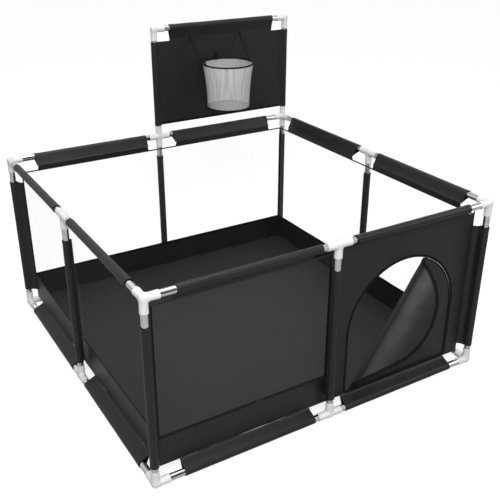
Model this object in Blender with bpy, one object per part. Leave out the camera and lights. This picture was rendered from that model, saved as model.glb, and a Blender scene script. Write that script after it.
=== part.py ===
"""Pet playpen: steel tubes in push-fit connectors, with a sewn bag hung in the frame by its sleeves.

Metres, +Z up. The origin is on the ground under the pen's centre, and the door is in the -Y side.
"""
import cmath
import math

import bmesh
import bpy
from mathutils import Matrix, Vector

# Frame
HALF_SPAN = 0.620           # pen's centre to the axis of a side tube
PEN_RISE = 0.611            # lower tube axes to upper tube axes
BOARD_RISE = 0.436          # upper tube axes to the axis of the board's rail
TUBE_R = 0.011
TUBE_WALL = 0.001
ROUND_SIDES = 12

# Connectors
ARM_WALL = 0.0012
ARM_LENGTH = 0.044          # connector's centre to the mouth of a socket
SOCKET_DEPTH = 0.030
SOCKET_CLEARANCE = 0.0003
TUBE_END_GAP = 0.001        # tube end to the bottom of its socket
HUB_SWELL = 0.001           # how far the ball at the centre stands out of the arms
HUB_RINGS = 6

# Sewn bag
CLOTH = 0.0015
SEAM_GAP = 0.0003
BAG_INSET = 0.028           # tube axes to the bag's faces, on every side
SLEEVE_CLEARANCE = 0.0014
BARE_AT_CORNER = 0.092      # connector's centre to a rail's sleeve
BARE_AT_TEE = 0.062
BARE_POST_TOP = 0.085
BARE_POST_FOOT = 0.060
DOOR_SEAM_X = -0.0015
FLOOR_REST_HALF = 0.300     # half the side of the floor that lies on the ground

# Door
ARCH_X = 0.305
ARCH_R = 0.222
ARCH_RISE = 0.253           # lower tube axes to the arch's centre
ARCH_SEGMENTS = 24
SILL = 0.008                # bag's lower edge to the bottom of the opening
FOLD_TOP_DEG = 68.0         # where the fold meets the arch, from +X
FOLD_FOOT = 0.022           # left side of the opening to the fold, along the sill
ROLL_R = 0.020              # radius that the folded cloth rolls over
ROLL_TURN_DEG = 144.0
FLAP_MARGIN = 0.003         # shut flap to the rim of the opening
ROLL_STRIP_SHARE = 0.30     # half width of the rolled strip's plate, as a share of its half of the roll
FLAP_START_SHARE = 0.93

# Zip slider
SLIDER_LENGTH = 0.015
SLIDER_WIDTH = 0.009
SLIDER_HEIGHT = 0.003
SLIDER_LIFT = 0.0005
PULL_LENGTH = 0.026
PULL_WIDTH = 0.005
PULL_THICKNESS = 0.0012

# Board
BOARD_PANEL_DROP = 0.050    # board rail's axis to the panel's upper edge
BOARD_PANEL_SIDE = 0.022    # board post's axis to the panel's side
BOARD_SLEEVE_BARE = 0.068   # elbow's centre to the rail's sleeve
BOARD_FOOT_GAP = 0.004      # socket's mouth to the panel and its sleeves

# Ball basket
RING_X = 0.275
RING_R = 0.103
RING_ROD_R = 0.0025
RING_DROP = 0.141           # board rail's axis to the ring
NET_HEIGHT = 0.178
NET_FOOT_R = 0.086
NET_THICKNESS = 0.0012
NET_HEM_R = 0.002
RING_SEGMENTS = 24
CLIP_WIDTH = 0.014
CLIP_WALL = 0.002
CLIP_CLEARANCE = 0.0015
STRAP_SPREAD = 0.118        # ring's centre to a strap's upper end, along the board
STRAP_WIDTH = 0.008
STRAP_THICKNESS = 0.0012

# What follows from the sizes above
SOCKET_R = TUBE_R + SOCKET_CLEARANCE
ARM_R = SOCKET_R + ARM_WALL
HUB_R = ARM_R + HUB_SWELL
SOCKET_FLOOR = ARM_LENGTH - SOCKET_DEPTH
TUBE_END = SOCKET_FLOOR + TUBE_END_GAP
SLEEVE_BORE = TUBE_R + SLEEVE_CLEARANCE
SLEEVE_R = SLEEVE_BORE + CLOTH
LOW = SLEEVE_R
HIGH = LOW + PEN_RISE
BOARD_TOP = HIGH + BOARD_RISE
FACE = HALF_SPAN - BAG_INSET
BAG_LOW = LOW + BAG_INSET
BAG_HIGH = HIGH - BAG_INSET
SEAM_OVERLAP = 0.55 * CLOTH
ARCH_Z = LOW + ARCH_RISE
SILL_Z = BAG_LOW + SILL

X = Vector((1, 0, 0))
Y = Vector((0, 1, 0))
Z = Vector((0, 0, 1))
SIDES_OF = {"x": (Y, Z), "y": (Z, X), "z": (X, Y)}
DIRECTIONS = {"+x": X, "-x": -X, "+y": Y, "-y": -Y, "+z": Z, "-z": -Z}


# --- scene and mesh helpers ---

def clear_scene():
    for obj in list(bpy.data.objects):
        bpy.data.objects.remove(obj, do_unlink=True)


def make_material(name, colour, roughness, metallic=0.0):
    material = bpy.data.materials.new(name)
    material.use_nodes = True
    shader = material.node_tree.nodes["Principled BSDF"]
    shader.inputs["Base Color"].default_value = (*colour, 1.0)
    shader.inputs["Roughness"].default_value = roughness
    shader.inputs["Metallic"].default_value = metallic
    return material


def add_object(name, mesh, material=None):
    obj = bpy.data.objects.new(name, mesh)
    bpy.context.scene.collection.objects.link(obj)
    if material:
        mesh.materials.append(material)
    return obj


def mesh_from(name, points, faces):
    """A closed mesh with its faces pointing out."""
    work = bmesh.new()
    corners = [work.verts.new(point) for point in points]
    for face in faces:
        work.faces.new([corners[i] for i in face])
    bmesh.ops.recalc_face_normals(work, faces=work.faces)
    mesh = bpy.data.meshes.new(name)
    work.to_mesh(mesh)
    work.free()
    return mesh


def smooth(obj, angle_deg=40.0):
    obj.data.shade_smooth()
    obj.data.set_sharp_from_angle(angle=math.radians(angle_deg))
    return obj


def join(target, tool, operation):
    """Applies one Boolean to target and removes the tool."""
    modifier = target.modifiers.new(operation.title(), "BOOLEAN")
    modifier.operation = operation
    modifier.solver = "EXACT"
    modifier.object = tool
    graph = bpy.context.evaluated_depsgraph_get()
    mesh = bpy.data.meshes.new_from_object(target.evaluated_get(graph), depsgraph=graph)
    target.modifiers.remove(modifier)
    target.data = mesh
    bpy.data.objects.remove(tool, do_unlink=True)
    return target


def turn_origin_to(obj, place):
    """Puts the object's origin on a joint's axis, with the shape left where it is."""
    obj.data.transform(Matrix.Translation(-place))
    obj.location = place
    return obj


# --- shapes ---

def circle(radius, sides, start_deg=0.0):
    angles = [math.radians(start_deg + 360.0 * k / sides) for k in range(sides)]
    return [(radius * math.cos(a), radius * math.sin(a)) for a in angles]


def placed(outline, centre, u, v):
    return [centre + u * a + v * b for a, b in outline]


def prism(name, outline, start, end, u, v):
    """A solid of one outline carried from start to end."""
    count = len(outline)
    points = placed(outline, start, u, v) + placed(outline, end, u, v)
    faces = [list(range(count)), list(range(2 * count - 1, count - 1, -1))]
    for k in range(count):
        after = (k + 1) % count
        faces.append([k, after, count + after, count + k])
    return mesh_from(name, points, faces)


def hollow_prism(name, outer, inner, start, end, u, v):
    """A tube whose outer and inner outlines have the same number of points."""
    count = len(outer)
    points = placed(outer, start, u, v) + placed(outer, end, u, v)
    points += placed(inner, start, u, v) + placed(inner, end, u, v)
    faces = []
    for k in range(count):
        after = (k + 1) % count
        rings = [(0, 1), (2, 3), (0, 2), (1, 3)]
        for a, b in rings:
            faces.append([a * count + k, a * count + after, b * count + after, b * count + k])
    return mesh_from(name, points, faces)


def lathe(name, profile, centre, segments):
    """A ring: a closed outline of (radius, height) turned round a vertical axis."""
    count = len(profile)
    points = []
    for s in range(segments):
        angle = 2 * math.pi * s / segments
        out = X * math.cos(angle) + Y * math.sin(angle)
        points += placed(profile, centre, out, Z)
    faces = []
    for s in range(segments):
        here, there = s * count, (s + 1) % segments * count
        for k in range(count):
            after = (k + 1) % count
            faces.append([here + k, here + after, there + after, there + k])
    return mesh_from(name, points, faces)


def box(name, low, high):
    outline = [(low[0], low[1]), (high[0], low[1]), (high[0], high[1]), (low[0], high[1])]
    return prism(name, outline, Z * low[2], Z * high[2], X, Y)


def ball(name, centre, radius):
    work = bmesh.new()
    place = Matrix.Translation(centre)
    bmesh.ops.create_uvsphere(
        work, u_segments=ROUND_SIDES, v_segments=HUB_RINGS, radius=radius, matrix=place)
    mesh = bpy.data.meshes.new(name)
    work.to_mesh(mesh)
    work.free()
    return mesh


def teardrop(radius, reach, half_web):
    """A sleeve's outer outline: round the tube, then two flanks that meet at the seam, at +a."""
    outline = [(reach, -half_web), (reach, half_web)]
    for angle_deg in range(75, 286, 30):
        angle = math.radians(angle_deg)
        outline.append((radius * math.cos(angle), radius * math.sin(angle)))
    return outline


# --- frame ---

def connector(name, centre, arms, material):
    """A ball with one socketed arm for each tube that it takes."""
    body = add_object(name, ball(name, centre, HUB_R), material)
    arm_outline = circle(ARM_R, ROUND_SIDES)
    socket_outline = circle(SOCKET_R, ROUND_SIDES)
    for arm in arms:
        along = DIRECTIONS[arm]
        u, v = SIDES_OF[arm[1]]
        mouth = centre + along * ARM_LENGTH
        join(body, add_object("arm", prism("arm", arm_outline, centre, mouth, u, v)), "UNION")
    for arm in arms:
        along = DIRECTIONS[arm]
        u, v = SIDES_OF[arm[1]]
        start = centre + along * SOCKET_FLOOR
        end = centre + along * (ARM_LENGTH + SOCKET_DEPTH)
        cutter = add_object("socket", prism("socket", socket_outline, start, end, u, v))
        join(body, cutter, "DIFFERENCE")
    return smooth(body)


def tube(name, first, second, material):
    """A hollow tube pushed into the sockets of the connectors centred on first and second."""
    along = (second - first).normalized()
    letter = "xyz"[max(range(3), key=lambda i: abs(along[i]))]
    u, v = SIDES_OF[letter]
    outer = circle(TUBE_R, ROUND_SIDES)
    inner = circle(TUBE_R - TUBE_WALL, ROUND_SIDES)
    start, end = first + along * TUBE_END, second - along * TUBE_END
    return smooth(add_object(name, hollow_prism(name, outer, inner, start, end, u, v), material))


def pen_nodes():
    """The eight places round the pen, with the arms that a connector has there along the sides."""
    s = HALF_SPAN
    return {
        "near_left": (-s, -s, ["+x", "+y"]),
        "front_middle": (0, -s, ["-x", "+x"]),
        "near_right": (s, -s, ["-x", "+y"]),
        "right_middle": (s, 0, ["-y", "+y"]),
        "back_right": (s, s, ["-x", "-y"]),
        "back_middle": (0, s, ["-x", "+x"]),
        "back_left": (-s, s, ["+x", "-y"]),
        "left_middle": (-s, 0, ["-y", "+y"]),
    }


def build_frame(plastic, steel):
    places = pen_nodes()
    carries_board = ("back_middle", "back_right")
    for name, (x, y, arms) in places.items():
        kind = "tee" if "middle" in name else "corner"
        connector(f"lower_{kind}_{name}", Vector((x, y, LOW)), [*arms, "+z"], plastic)
        upper_arms = [*arms, "-z", "+z"] if name in carries_board else [*arms, "-z"]
        connector(f"upper_{kind}_{name}", Vector((x, y, HIGH)), upper_arms, plastic)
        tube(f"post_{name}", Vector((x, y, LOW)), Vector((x, y, HIGH)), steel)
    ring = list(places)
    rails = ["front_left", "front_right", "right_front", "right_back",
             "back_right", "back_left", "left_back", "left_front"]
    for k, rail in enumerate(rails):
        here, there = places[ring[k]], places[ring[(k + 1) % len(ring)]]
        for level, z in (("lower", LOW), ("upper", HIGH)):
            first, second = Vector((here[0], here[1], z)), Vector((there[0], there[1], z))
            tube(f"{level}_rail_{rail}", first, second, steel)


def build_board_frame(plastic, steel):
    left = Vector((0, HALF_SPAN, BOARD_TOP))
    right = Vector((HALF_SPAN, HALF_SPAN, BOARD_TOP))
    connector("board_elbow_left", left, ["+x", "-z"], plastic)
    connector("board_elbow_right", right, ["-x", "-z"], plastic)
    tube("board_rail", left, right, steel)
    tube("board_post_left", left - Z * BOARD_RISE, left, steel)
    tube("board_post_right", right - Z * BOARD_RISE, right, steel)


# --- sewn bag ---

def sleeve(start, end, towards, reach):
    """A cloth sleeve round a tube, from start to end on its axis, sewn along a seam at reach."""
    along = (end - start).normalized()
    side = along.cross(towards)
    outer = teardrop(SLEEVE_R, reach, CLOTH / 2)
    inner = circle(SLEEVE_BORE, len(outer), -180.0 / len(outer))
    return add_object("sleeve", hollow_prism("sleeve", outer, inner, start, end, towards, side))


def rail_sleeve_ends(half):
    """Where the sleeve of one half of a side starts and ends along it; half is -1 or 1."""
    return half * BARE_AT_TEE, half * (HALF_SPAN - BARE_AT_CORNER)


def sew_rails(wall, along, outward, halves):
    """Adds the upper and lower rail sleeves of a wall to it."""
    to_seam = BAG_INSET * math.sqrt(2) + SEAM_OVERLAP
    for z, lift in ((LOW, Z), (HIGH, -Z)):
        towards = (lift - outward).normalized()
        for half in halves:
            first, second = rail_sleeve_ends(half)
            base = outward * HALF_SPAN + Z * z
            join(wall, sleeve(base + along * first, base + along * second, towards, to_seam), "UNION")


def sew_post(wall, x, y, towards, to_seam):
    start = Vector((x, y, LOW + BARE_POST_FOOT))
    end = Vector((x, y, HIGH - BARE_POST_TOP))
    join(wall, sleeve(start, end, towards, to_seam + SEAM_OVERLAP), "UNION")


def sew_corner_post(wall, x, y):
    inward = Vector((-x, -y, 0)).normalized()
    sew_post(wall, x, y, inward, BAG_INSET * math.sqrt(2))


def wall_box(name, x_range, y_range, material):
    low = (min(x_range), min(y_range), BAG_LOW)
    high = (max(x_range), max(y_range), BAG_HIGH)
    return add_object(name, box(name, low, high), material)


def build_walls(net_cloth, black_cloth):
    s, inner = HALF_SPAN, FACE - CLOTH
    front = wall_box("wall_front", (-FACE, DOOR_SEAM_X - SEAM_GAP), (-FACE, -inner), net_cloth)
    sew_rails(front, X, -Y, [-1])
    sew_corner_post(front, -s, -s)

    back = wall_box("wall_back", (-FACE, FACE), (inner, FACE), net_cloth)
    sew_rails(back, X, Y, [-1, 1])
    sew_post(back, 0, s, -Y, BAG_INSET)
    sew_corner_post(back, -s, s)
    sew_corner_post(back, s, s)

    between = inner - SEAM_GAP
    left = wall_box("wall_left", (-FACE, -inner), (-between, between), net_cloth)
    sew_rails(left, Y, -X, [-1, 1])
    sew_post(left, -s, 0, X, BAG_INSET)

    right = wall_box("wall_right", (inner, FACE), (-between, between), net_cloth)
    sew_rails(right, Y, X, [-1, 1])
    sew_post(right, s, 0, -X, BAG_INSET)

    door = wall_box("door_panel", (DOOR_SEAM_X, FACE), (-FACE, -inner), black_cloth)
    sew_rails(door, X, -Y, [1])
    sew_post(door, 0, -s, Y, BAG_INSET)
    sew_corner_post(door, s, -s)
    through = 4 * CLOTH
    outline = beyond_fold(arch_outline(0.0), 0.0)
    opening = prism("opening", outline, -Y * (FACE + through), -Y * (inner - through), X, Z)
    join(door, add_object("opening", opening), "DIFFERENCE")
    return front, back, left, right, door


def build_floor(material):
    """A shallow dish: it lies on the ground in the middle and rises to the bag's lower edge."""
    edge = FACE - CLOTH - SEAM_GAP
    rest = FLOOR_REST_HALF
    points = []
    for lift in (0.0, CLOTH):
        for half, z in ((edge, BAG_LOW), (rest, 0.0)):
            points += [Vector((a * half, b * half, z + lift))
                       for a, b in ((-1, -1), (1, -1), (1, 1), (-1, 1))]
    faces = [[4, 5, 6, 7], [12, 13, 14, 15]]
    for k in range(4):
        after = (k + 1) % 4
        faces.append([k, after, 4 + after, 4 + k])
        faces.append([8 + k, 8 + after, 12 + after, 12 + k])
        faces.append([k, after, 8 + after, 8 + k])
    return add_object("bag_floor", mesh_from("bag_floor", points, faces), material)


# --- door ---

FOLD_FOOT_POINT = Vector((ARCH_X - ARCH_R + FOLD_FOOT, 0, SILL_Z))
FOLD_TOP_POINT = Vector((
    ARCH_X + ARCH_R * math.cos(math.radians(FOLD_TOP_DEG)), 0,
    ARCH_Z + ARCH_R * math.sin(math.radians(FOLD_TOP_DEG))))
ALONG_FOLD = (FOLD_TOP_POINT - FOLD_FOOT_POINT).normalized()
ACROSS_FOLD = Vector((-ALONG_FOLD.z, 0, ALONG_FOLD.x))      # towards the opening
HALF_TURN = math.radians(ROLL_TURN_DEG / 2)
HALF_ROLL = ROLL_R * HALF_TURN                              # cloth taken up by half the roll


def arch_outline(margin):
    """The door's outline as (x, z): a half round on straight sides, smaller by margin all round."""
    radius = ARCH_R - margin
    outline = [(ARCH_X + radius, SILL_Z + margin)]
    for k in range(ARCH_SEGMENTS + 1):
        angle = math.pi * k / ARCH_SEGMENTS
        outline.append((ARCH_X + radius * math.cos(angle), ARCH_Z + radius * math.sin(angle)))
    outline.append((ARCH_X - radius, SILL_Z + margin))
    return outline


def fold_place(x, z):
    """(distance along the fold, distance past it towards the opening) of a point of the door."""
    away = Vector((x, 0, z)) - FOLD_FOOT_POINT
    return away.dot(ALONG_FOLD), away.dot(ACROSS_FOLD)


def beyond_fold(outline, least, most=None):
    """The part of an (x, z) outline between two distances past the fold."""
    kept = clip(outline, lambda x, z: fold_place(x, z)[1] - least)
    if most is not None:
        kept = clip(kept, lambda x, z: most - fold_place(x, z)[1])
    return kept


def clip(outline, inside):
    kept = []
    for k, here in enumerate(outline):
        there = outline[(k + 1) % len(outline)]
        a, b = inside(*here), inside(*there)
        if a >= 0:
            kept.append(here)
        if (a >= 0) != (b >= 0):
            share = a / (a - b)
            kept.append((here[0] + share * (there[0] - here[0]),
                         here[1] + share * (there[1] - here[1])))
    return kept


def roll_point(turn):
    """Where the rolled cloth has turned by this much: real part across the fold, imaginary outwards."""
    return ROLL_R * complex(math.sin(turn), 1 - math.cos(turn))


def hinge_in_roll():
    """The point about which half the roll can be laid flat by one turn."""
    back = cmath.exp(-1j * HALF_TURN)
    return (HALF_ROLL - back * roll_point(HALF_TURN)) / (1 - back)


def section_point(place):
    """A point of the fold's cross-section, on the line of the fold, in space."""
    middle = -Y * (FACE - CLOTH / 2)
    return FOLD_FOOT_POINT + middle + ACROSS_FOLD * place.real - Y * place.imag


def door_plate(name, outline, rolled, start, turn, material):
    """A flat piece of the door, cut from its flat outline and turned open about the fold.

    rolled is the cloth's distance past the fold at start, a point of the cross-section.
    """
    heading = cmath.exp(1j * turn)
    up = ACROSS_FOLD * heading.real - Y * heading.imag
    outward = heading * 1j
    normal = ACROSS_FOLD * outward.real - Y * outward.imag
    flat = []
    for x, z in outline:
        along, across = fold_place(x, z)
        flat.append((along, across - rolled))
    base = section_point(start)
    half = normal * CLOTH / 2
    return add_object(name, prism(name, flat, base - half, base + half, ALONG_FOLD, up), material)


def build_door(cloth, metal):
    outline = arch_outline(FLAP_MARGIN)
    middle = roll_point(HALF_TURN)
    half_strip = ROLL_STRIP_SHARE * HALF_ROLL
    strip = beyond_fold(outline, HALF_ROLL - half_strip, HALF_ROLL + half_strip)
    roll = door_plate("door_roll", strip, HALF_ROLL, middle, HALF_TURN, cloth)
    turn_origin_to(roll, section_point(hinge_in_roll()))

    free = beyond_fold(outline, 2 * FLAP_START_SHARE * HALF_ROLL)
    flap = door_plate("door_flap", free, 2 * HALF_ROLL, roll_point(2 * HALF_TURN), 2 * HALF_TURN, cloth)
    second = middle + cmath.exp(1j * HALF_TURN) * hinge_in_roll()
    turn_origin_to(flap, section_point(second))
    build_slider(metal)


def build_slider(metal):
    """The zip's slider, on the arch where the fold meets it, with its pull hanging down."""
    radial = Vector((math.cos(math.radians(FOLD_TOP_DEG)), 0, math.sin(math.radians(FOLD_TOP_DEG))))
    around = Vector((-radial.z, 0, radial.x))
    centre = Vector((ARCH_X, 0, ARCH_Z)) + radial * ARCH_R
    near = centre - Y * (FACE + SLIDER_LIFT)
    far = near - Y * SLIDER_HEIGHT
    a, b = SLIDER_LENGTH / 2, SLIDER_WIDTH / 2
    outline = [(-a, -b), (a, -b), (a, b), (-a, b)]
    slider = add_object("zip_slider", prism("zip_slider", outline, near, far, around, radial), metal)
    w = PULL_WIDTH / 2
    pull_outline = [(-w, -PULL_LENGTH), (w, -PULL_LENGTH), (w, 0), (-w, 0)]
    start = far + Y * PULL_THICKNESS / 2
    pull = prism("pull", pull_outline, start, start - Y * PULL_THICKNESS, X, Z)
    join(slider, add_object("pull", pull), "UNION")
    return turn_origin_to(slider, Vector((ARCH_X, -FACE, ARCH_Z)))


# --- board and ball basket ---

BOARD_FRONT = HALF_SPAN - CLOTH / 2
CLIP_R = RING_ROD_R + CLIP_CLEARANCE + CLIP_WALL
RING_Z = BOARD_TOP - RING_DROP
HINGE_Y = BOARD_FRONT - SEAM_GAP - CLIP_R
RING_CENTRE = Vector((RING_X, HINGE_Y - RING_R, RING_Z))


def build_board_panel(cloth):
    foot = HIGH + ARM_LENGTH + BOARD_FOOT_GAP
    top = BOARD_TOP - BOARD_PANEL_DROP
    low = (BOARD_PANEL_SIDE, BOARD_FRONT, foot)
    high = (HALF_SPAN - BOARD_PANEL_SIDE, BOARD_FRONT + CLOTH, top)
    panel = add_object("board_panel", box("board_panel", low, high), cloth)
    rail = Vector((0, HALF_SPAN, BOARD_TOP))
    start, end = rail + X * BOARD_SLEEVE_BARE, rail + X * (HALF_SPAN - BOARD_SLEEVE_BARE)
    join(panel, sleeve(start, end, -Z, BOARD_PANEL_DROP + SEAM_OVERLAP), "UNION")
    for x, towards in ((0, X), (HALF_SPAN, -X)):
        start, end = Vector((x, HALF_SPAN, foot)), Vector((x, HALF_SPAN, top))
        join(panel, sleeve(start, end, towards, BOARD_PANEL_SIDE + SEAM_OVERLAP), "UNION")
    return panel


def build_clip(cloth):
    """The sewn loop that holds the back of the ring to the board; the ring turns inside it."""
    middle = Vector((RING_X, HINGE_Y, RING_Z))
    start, end = middle - X * CLIP_WIDTH / 2, middle + X * CLIP_WIDTH / 2
    outer, inner = circle(CLIP_R, ROUND_SIDES), circle(CLIP_R - CLIP_WALL, ROUND_SIDES)
    return add_object("basket_clip", hollow_prism("basket_clip", outer, inner, start, end, Y, Z), cloth)


def build_strap(name, side, cloth):
    """A tape from the board down to the ring's side."""
    lift = RING_ROD_R + STRAP_THICKNESS
    top_y = BOARD_FRONT - SEAM_GAP - STRAP_THICKNESS
    top = Vector((RING_X + side * STRAP_SPREAD, top_y, BOARD_TOP - BOARD_PANEL_DROP))
    foot = RING_CENTRE + Vector((side * RING_R, 0, lift))
    along = (foot - top).normalized()
    across = along.cross(X).cross(along).normalized()
    face = along.cross(across)
    w, t = STRAP_WIDTH / 2, STRAP_THICKNESS / 2
    outline = [(-w, -t), (w, -t), (w, t), (-w, t)]
    return add_object(name, prism(name, outline, top, foot, across, face), cloth)


def build_basket(steel, net, cloth):
    rod = [(RING_R + a, b) for a, b in circle(RING_ROD_R, 6)]
    ring = add_object("basket_ring", lathe("basket_ring", rod, RING_CENTRE, RING_SEGMENTS), steel)
    smooth(turn_origin_to(ring, Vector((RING_X, HINGE_Y, RING_Z))), 80.0)

    top = -CLIP_R - SEAM_GAP
    foot = -NET_HEIGHT
    profile = [
        (RING_R, top),
        (NET_FOOT_R + NET_HEM_R, foot + 2 * NET_HEM_R),
        (NET_FOOT_R + NET_HEM_R, foot),
        (NET_FOOT_R - NET_HEM_R, foot),
        (NET_FOOT_R - NET_HEM_R, foot + 2 * NET_HEM_R),
        (RING_R - NET_THICKNESS, top),
    ]
    basket = add_object("basket_net", lathe("basket_net", profile, RING_CENTRE, RING_SEGMENTS), net)
    smooth(turn_origin_to(basket, Vector((RING_X, HINGE_Y, RING_Z))), 30.0)
    build_clip(cloth)
    build_strap("strap_left", -1, cloth)
    build_strap("strap_right", 1, cloth)


def main():
    clear_scene()
    plastic = make_material("white moulded plastic", (0.86, 0.87, 0.88), 0.25)
    steel = make_material("chromed steel tube", (0.80, 0.80, 0.82), 0.12, 1.0)
    black_cloth = make_material("black oxford cloth", (0.020, 0.020, 0.019), 0.65)
    mesh_cloth = make_material("white mesh cloth", (0.80, 0.81, 0.80), 0.70)
    net = make_material("grey net", (0.52, 0.52, 0.50), 0.75)
    wire = make_material("black coated wire", (0.012, 0.012, 0.012), 0.35)
    metal = make_material("black painted zinc", (0.03, 0.03, 0.03), 0.40, 0.6)
    build_frame(plastic, steel)
    build_board_frame(plastic, steel)
    build_walls(mesh_cloth, black_cloth)
    build_floor(black_cloth)
    build_door(black_cloth, metal)
    build_board_panel(black_cloth)
    build_basket(wire, net, black_cloth)


main()
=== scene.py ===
"""Pet playpen: chromed tubes in white push-fit connectors, with a black and net bag sewn to them by sleeves,
a zipped arch door rolled open in the -Y side, and a board with a small ball basket above the +Y side.

Laid out as an add-on and run as a script. Metres, +Z up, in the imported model's own frame.
"""

import cmath
import math

import bmesh
import bpy
from bpy.props import FloatProperty, FloatVectorProperty, IntProperty, PointerProperty
from mathutils import Matrix, Vector, noise


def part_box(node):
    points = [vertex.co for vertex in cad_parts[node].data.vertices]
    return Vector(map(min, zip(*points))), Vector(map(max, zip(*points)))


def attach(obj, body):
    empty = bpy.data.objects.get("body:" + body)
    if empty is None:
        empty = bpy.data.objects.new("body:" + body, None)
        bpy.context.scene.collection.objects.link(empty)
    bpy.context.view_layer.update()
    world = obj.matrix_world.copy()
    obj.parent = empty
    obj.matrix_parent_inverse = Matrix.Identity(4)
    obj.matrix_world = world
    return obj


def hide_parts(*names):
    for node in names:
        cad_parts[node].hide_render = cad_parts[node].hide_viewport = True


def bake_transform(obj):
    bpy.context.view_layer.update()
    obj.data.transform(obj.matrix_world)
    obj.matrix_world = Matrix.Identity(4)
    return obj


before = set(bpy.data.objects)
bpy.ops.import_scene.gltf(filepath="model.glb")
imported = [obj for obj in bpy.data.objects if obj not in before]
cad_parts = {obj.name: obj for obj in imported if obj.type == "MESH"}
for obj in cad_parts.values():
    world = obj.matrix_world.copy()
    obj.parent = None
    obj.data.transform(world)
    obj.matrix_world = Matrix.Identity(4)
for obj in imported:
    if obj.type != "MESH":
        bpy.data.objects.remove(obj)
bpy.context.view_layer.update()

bl_info = {
    "name": "Pet Playpen",
    "version": (1, 0, 0),
    "blender": (4, 5, 0),
    "location": "3D View > Sidebar > Playpen",
    "description": "Builds a sewn pet playpen piece by piece round its tube frame",
    "category": "Object",
}

X, Y, Z = Vector((1, 0, 0)), Vector((0, 1, 0)), Vector((0, 0, 1))
DIRECTIONS = {"+x": X, "-x": -X, "+y": Y, "-y": -Y, "+z": Z, "-z": -Z}


# --- places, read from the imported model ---

def middle(node):
    low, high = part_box(node)
    return (low + high) / 2


def size_of(node):
    low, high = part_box(node)
    return high - low


NEAR_RIGHT_POST = middle("post_near_right")
HALF_SPAN = NEAR_RIGHT_POST.x               # pen's centre to a side tube's axis
LOW = middle("lower_rail_front_left").z     # lower tube axes
HIGH = middle("upper_rail_front_left").z    # upper tube axes
BOARD_TOP = middle("board_rail").z          # axis of the board's rail
TUBE_R = size_of("board_rail").z / 2
TUBE_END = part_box("board_rail")[0].x        # connector's centre to a tube's end
ARM_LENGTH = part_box("board_elbow_left")[1].x
ARM_R = 0.0125
BAG_DROP = 0.028                         # upper tube axes to the bag's upper edge
BAG_LOW, BAG_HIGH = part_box("bag_floor")[1].z - 0.0015, HIGH - BAG_DROP
FLOOR_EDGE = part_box("bag_floor")[1].x
FACE = FLOOR_EDGE + 0.0018               # pen's centre to the bag's outer faces
CLOTH = 0.0015
INSET = HALF_SPAN - FACE
FLOOR_REST = 0.30                        # half the width over which the floor lies on the ground
BARE_AT_TEE = 0.062                      # connector's centre to a rail's sleeve
BARE_AT_CORNER = 0.092
BARE_POST_FOOT = 0.060
BARE_POST_TOP = 0.085
TIGHT_REACH = 0.018                      # middle posts: tube's axis to the edge of a sleeve that hugs it
NET_STRIP_START = 0.017                  # and to the net strip that joins that sleeve to the wall
POST_FULLNESS, RAIL_FULLNESS, BOARD_FULLNESS = 1.75, 2.6, 3.3    # a sleeve's neck, in radii from the tube

# Door: the arch, and the fold that runs from its lower left to its upper right.
ARCH_X, ARCH_R, ARCH_Z = 0.305, 0.222, LOW + 0.253
SILL_Z = BAG_LOW + 0.008
FOLD_TOP_ANGLE = math.radians(68.0)
ROLL_R, HALF_TURN = 0.020, math.radians(72.0)
HALF_ROLL = ROLL_R * HALF_TURN
FOLD_FOOT = Vector((ARCH_X - ARCH_R + 0.022, -FACE + CLOTH / 2, SILL_Z))
FOLD_TOP = Vector((ARCH_X + ARCH_R * math.cos(FOLD_TOP_ANGLE), FOLD_FOOT.y,
                   ARCH_Z + ARCH_R * math.sin(FOLD_TOP_ANGLE)))
ALONG_FOLD = (FOLD_TOP - FOLD_FOOT).normalized()
ACROSS_FOLD = Vector((-ALONG_FOLD.z, 0, ALONG_FOLD.x))
FLAP_MARGIN = 0.003
OPENING_CORNER = 0.014                   # radius of the opening's two lower corners
FREE_LENGTH = 0.126                      # longest run of cloth past the roll
CURL = 0.42                              # how far the free cloth keeps curling past its mean line, radians

# Ball basket
RING_LOW, RING_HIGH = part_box("basket_ring")
RING_ROD_R = (RING_HIGH.z - RING_LOW.z) / 2
RING_CENTRE = (RING_LOW + RING_HIGH) / 2
RING_R = (RING_HIGH.y - RING_LOW.y) / 2 - RING_ROD_R
RING_HINGE_Y = RING_HIGH.y - RING_ROD_R
NET_HEIGHT, NET_FOOT_R = 0.178, 0.086
NET_HEM_R = 0.0034
STRAP_SPREAD, STRAP_WIDTH = 0.118, 0.006  # ring's centre to a strap's upper end, along the board
CLIP_WIDTH = 0.014
BOARD_SLEEVE_BARE = 0.068                # elbow's centre to the rail's sleeve
BOARD_FOOT_GAP = 0.004                   # socket's mouth to the panel
BOARD_LOW_X = 0.022                      # a board post's axis to the panel's edge
BOARD_PANEL_TOP = BOARD_TOP - 0.050
BOARD_FRONT = HALF_SPAN - CLOTH / 2

# The camera's place: a little left of the front, above the pen.
CAMERA_PLACE = Vector((-1.24276, -2.16732, 1.55286))
CAMERA_RIGHT = Vector((0.85545, -0.51787, 0.00215))
CAMERA_FORWARD = Vector((0.46744, 0.77034, -0.43368))
CAMERA_LENS_MM, CAMERA_SENSOR_MM = 53.68, 36.0


# --- what a user would change ---

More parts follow.
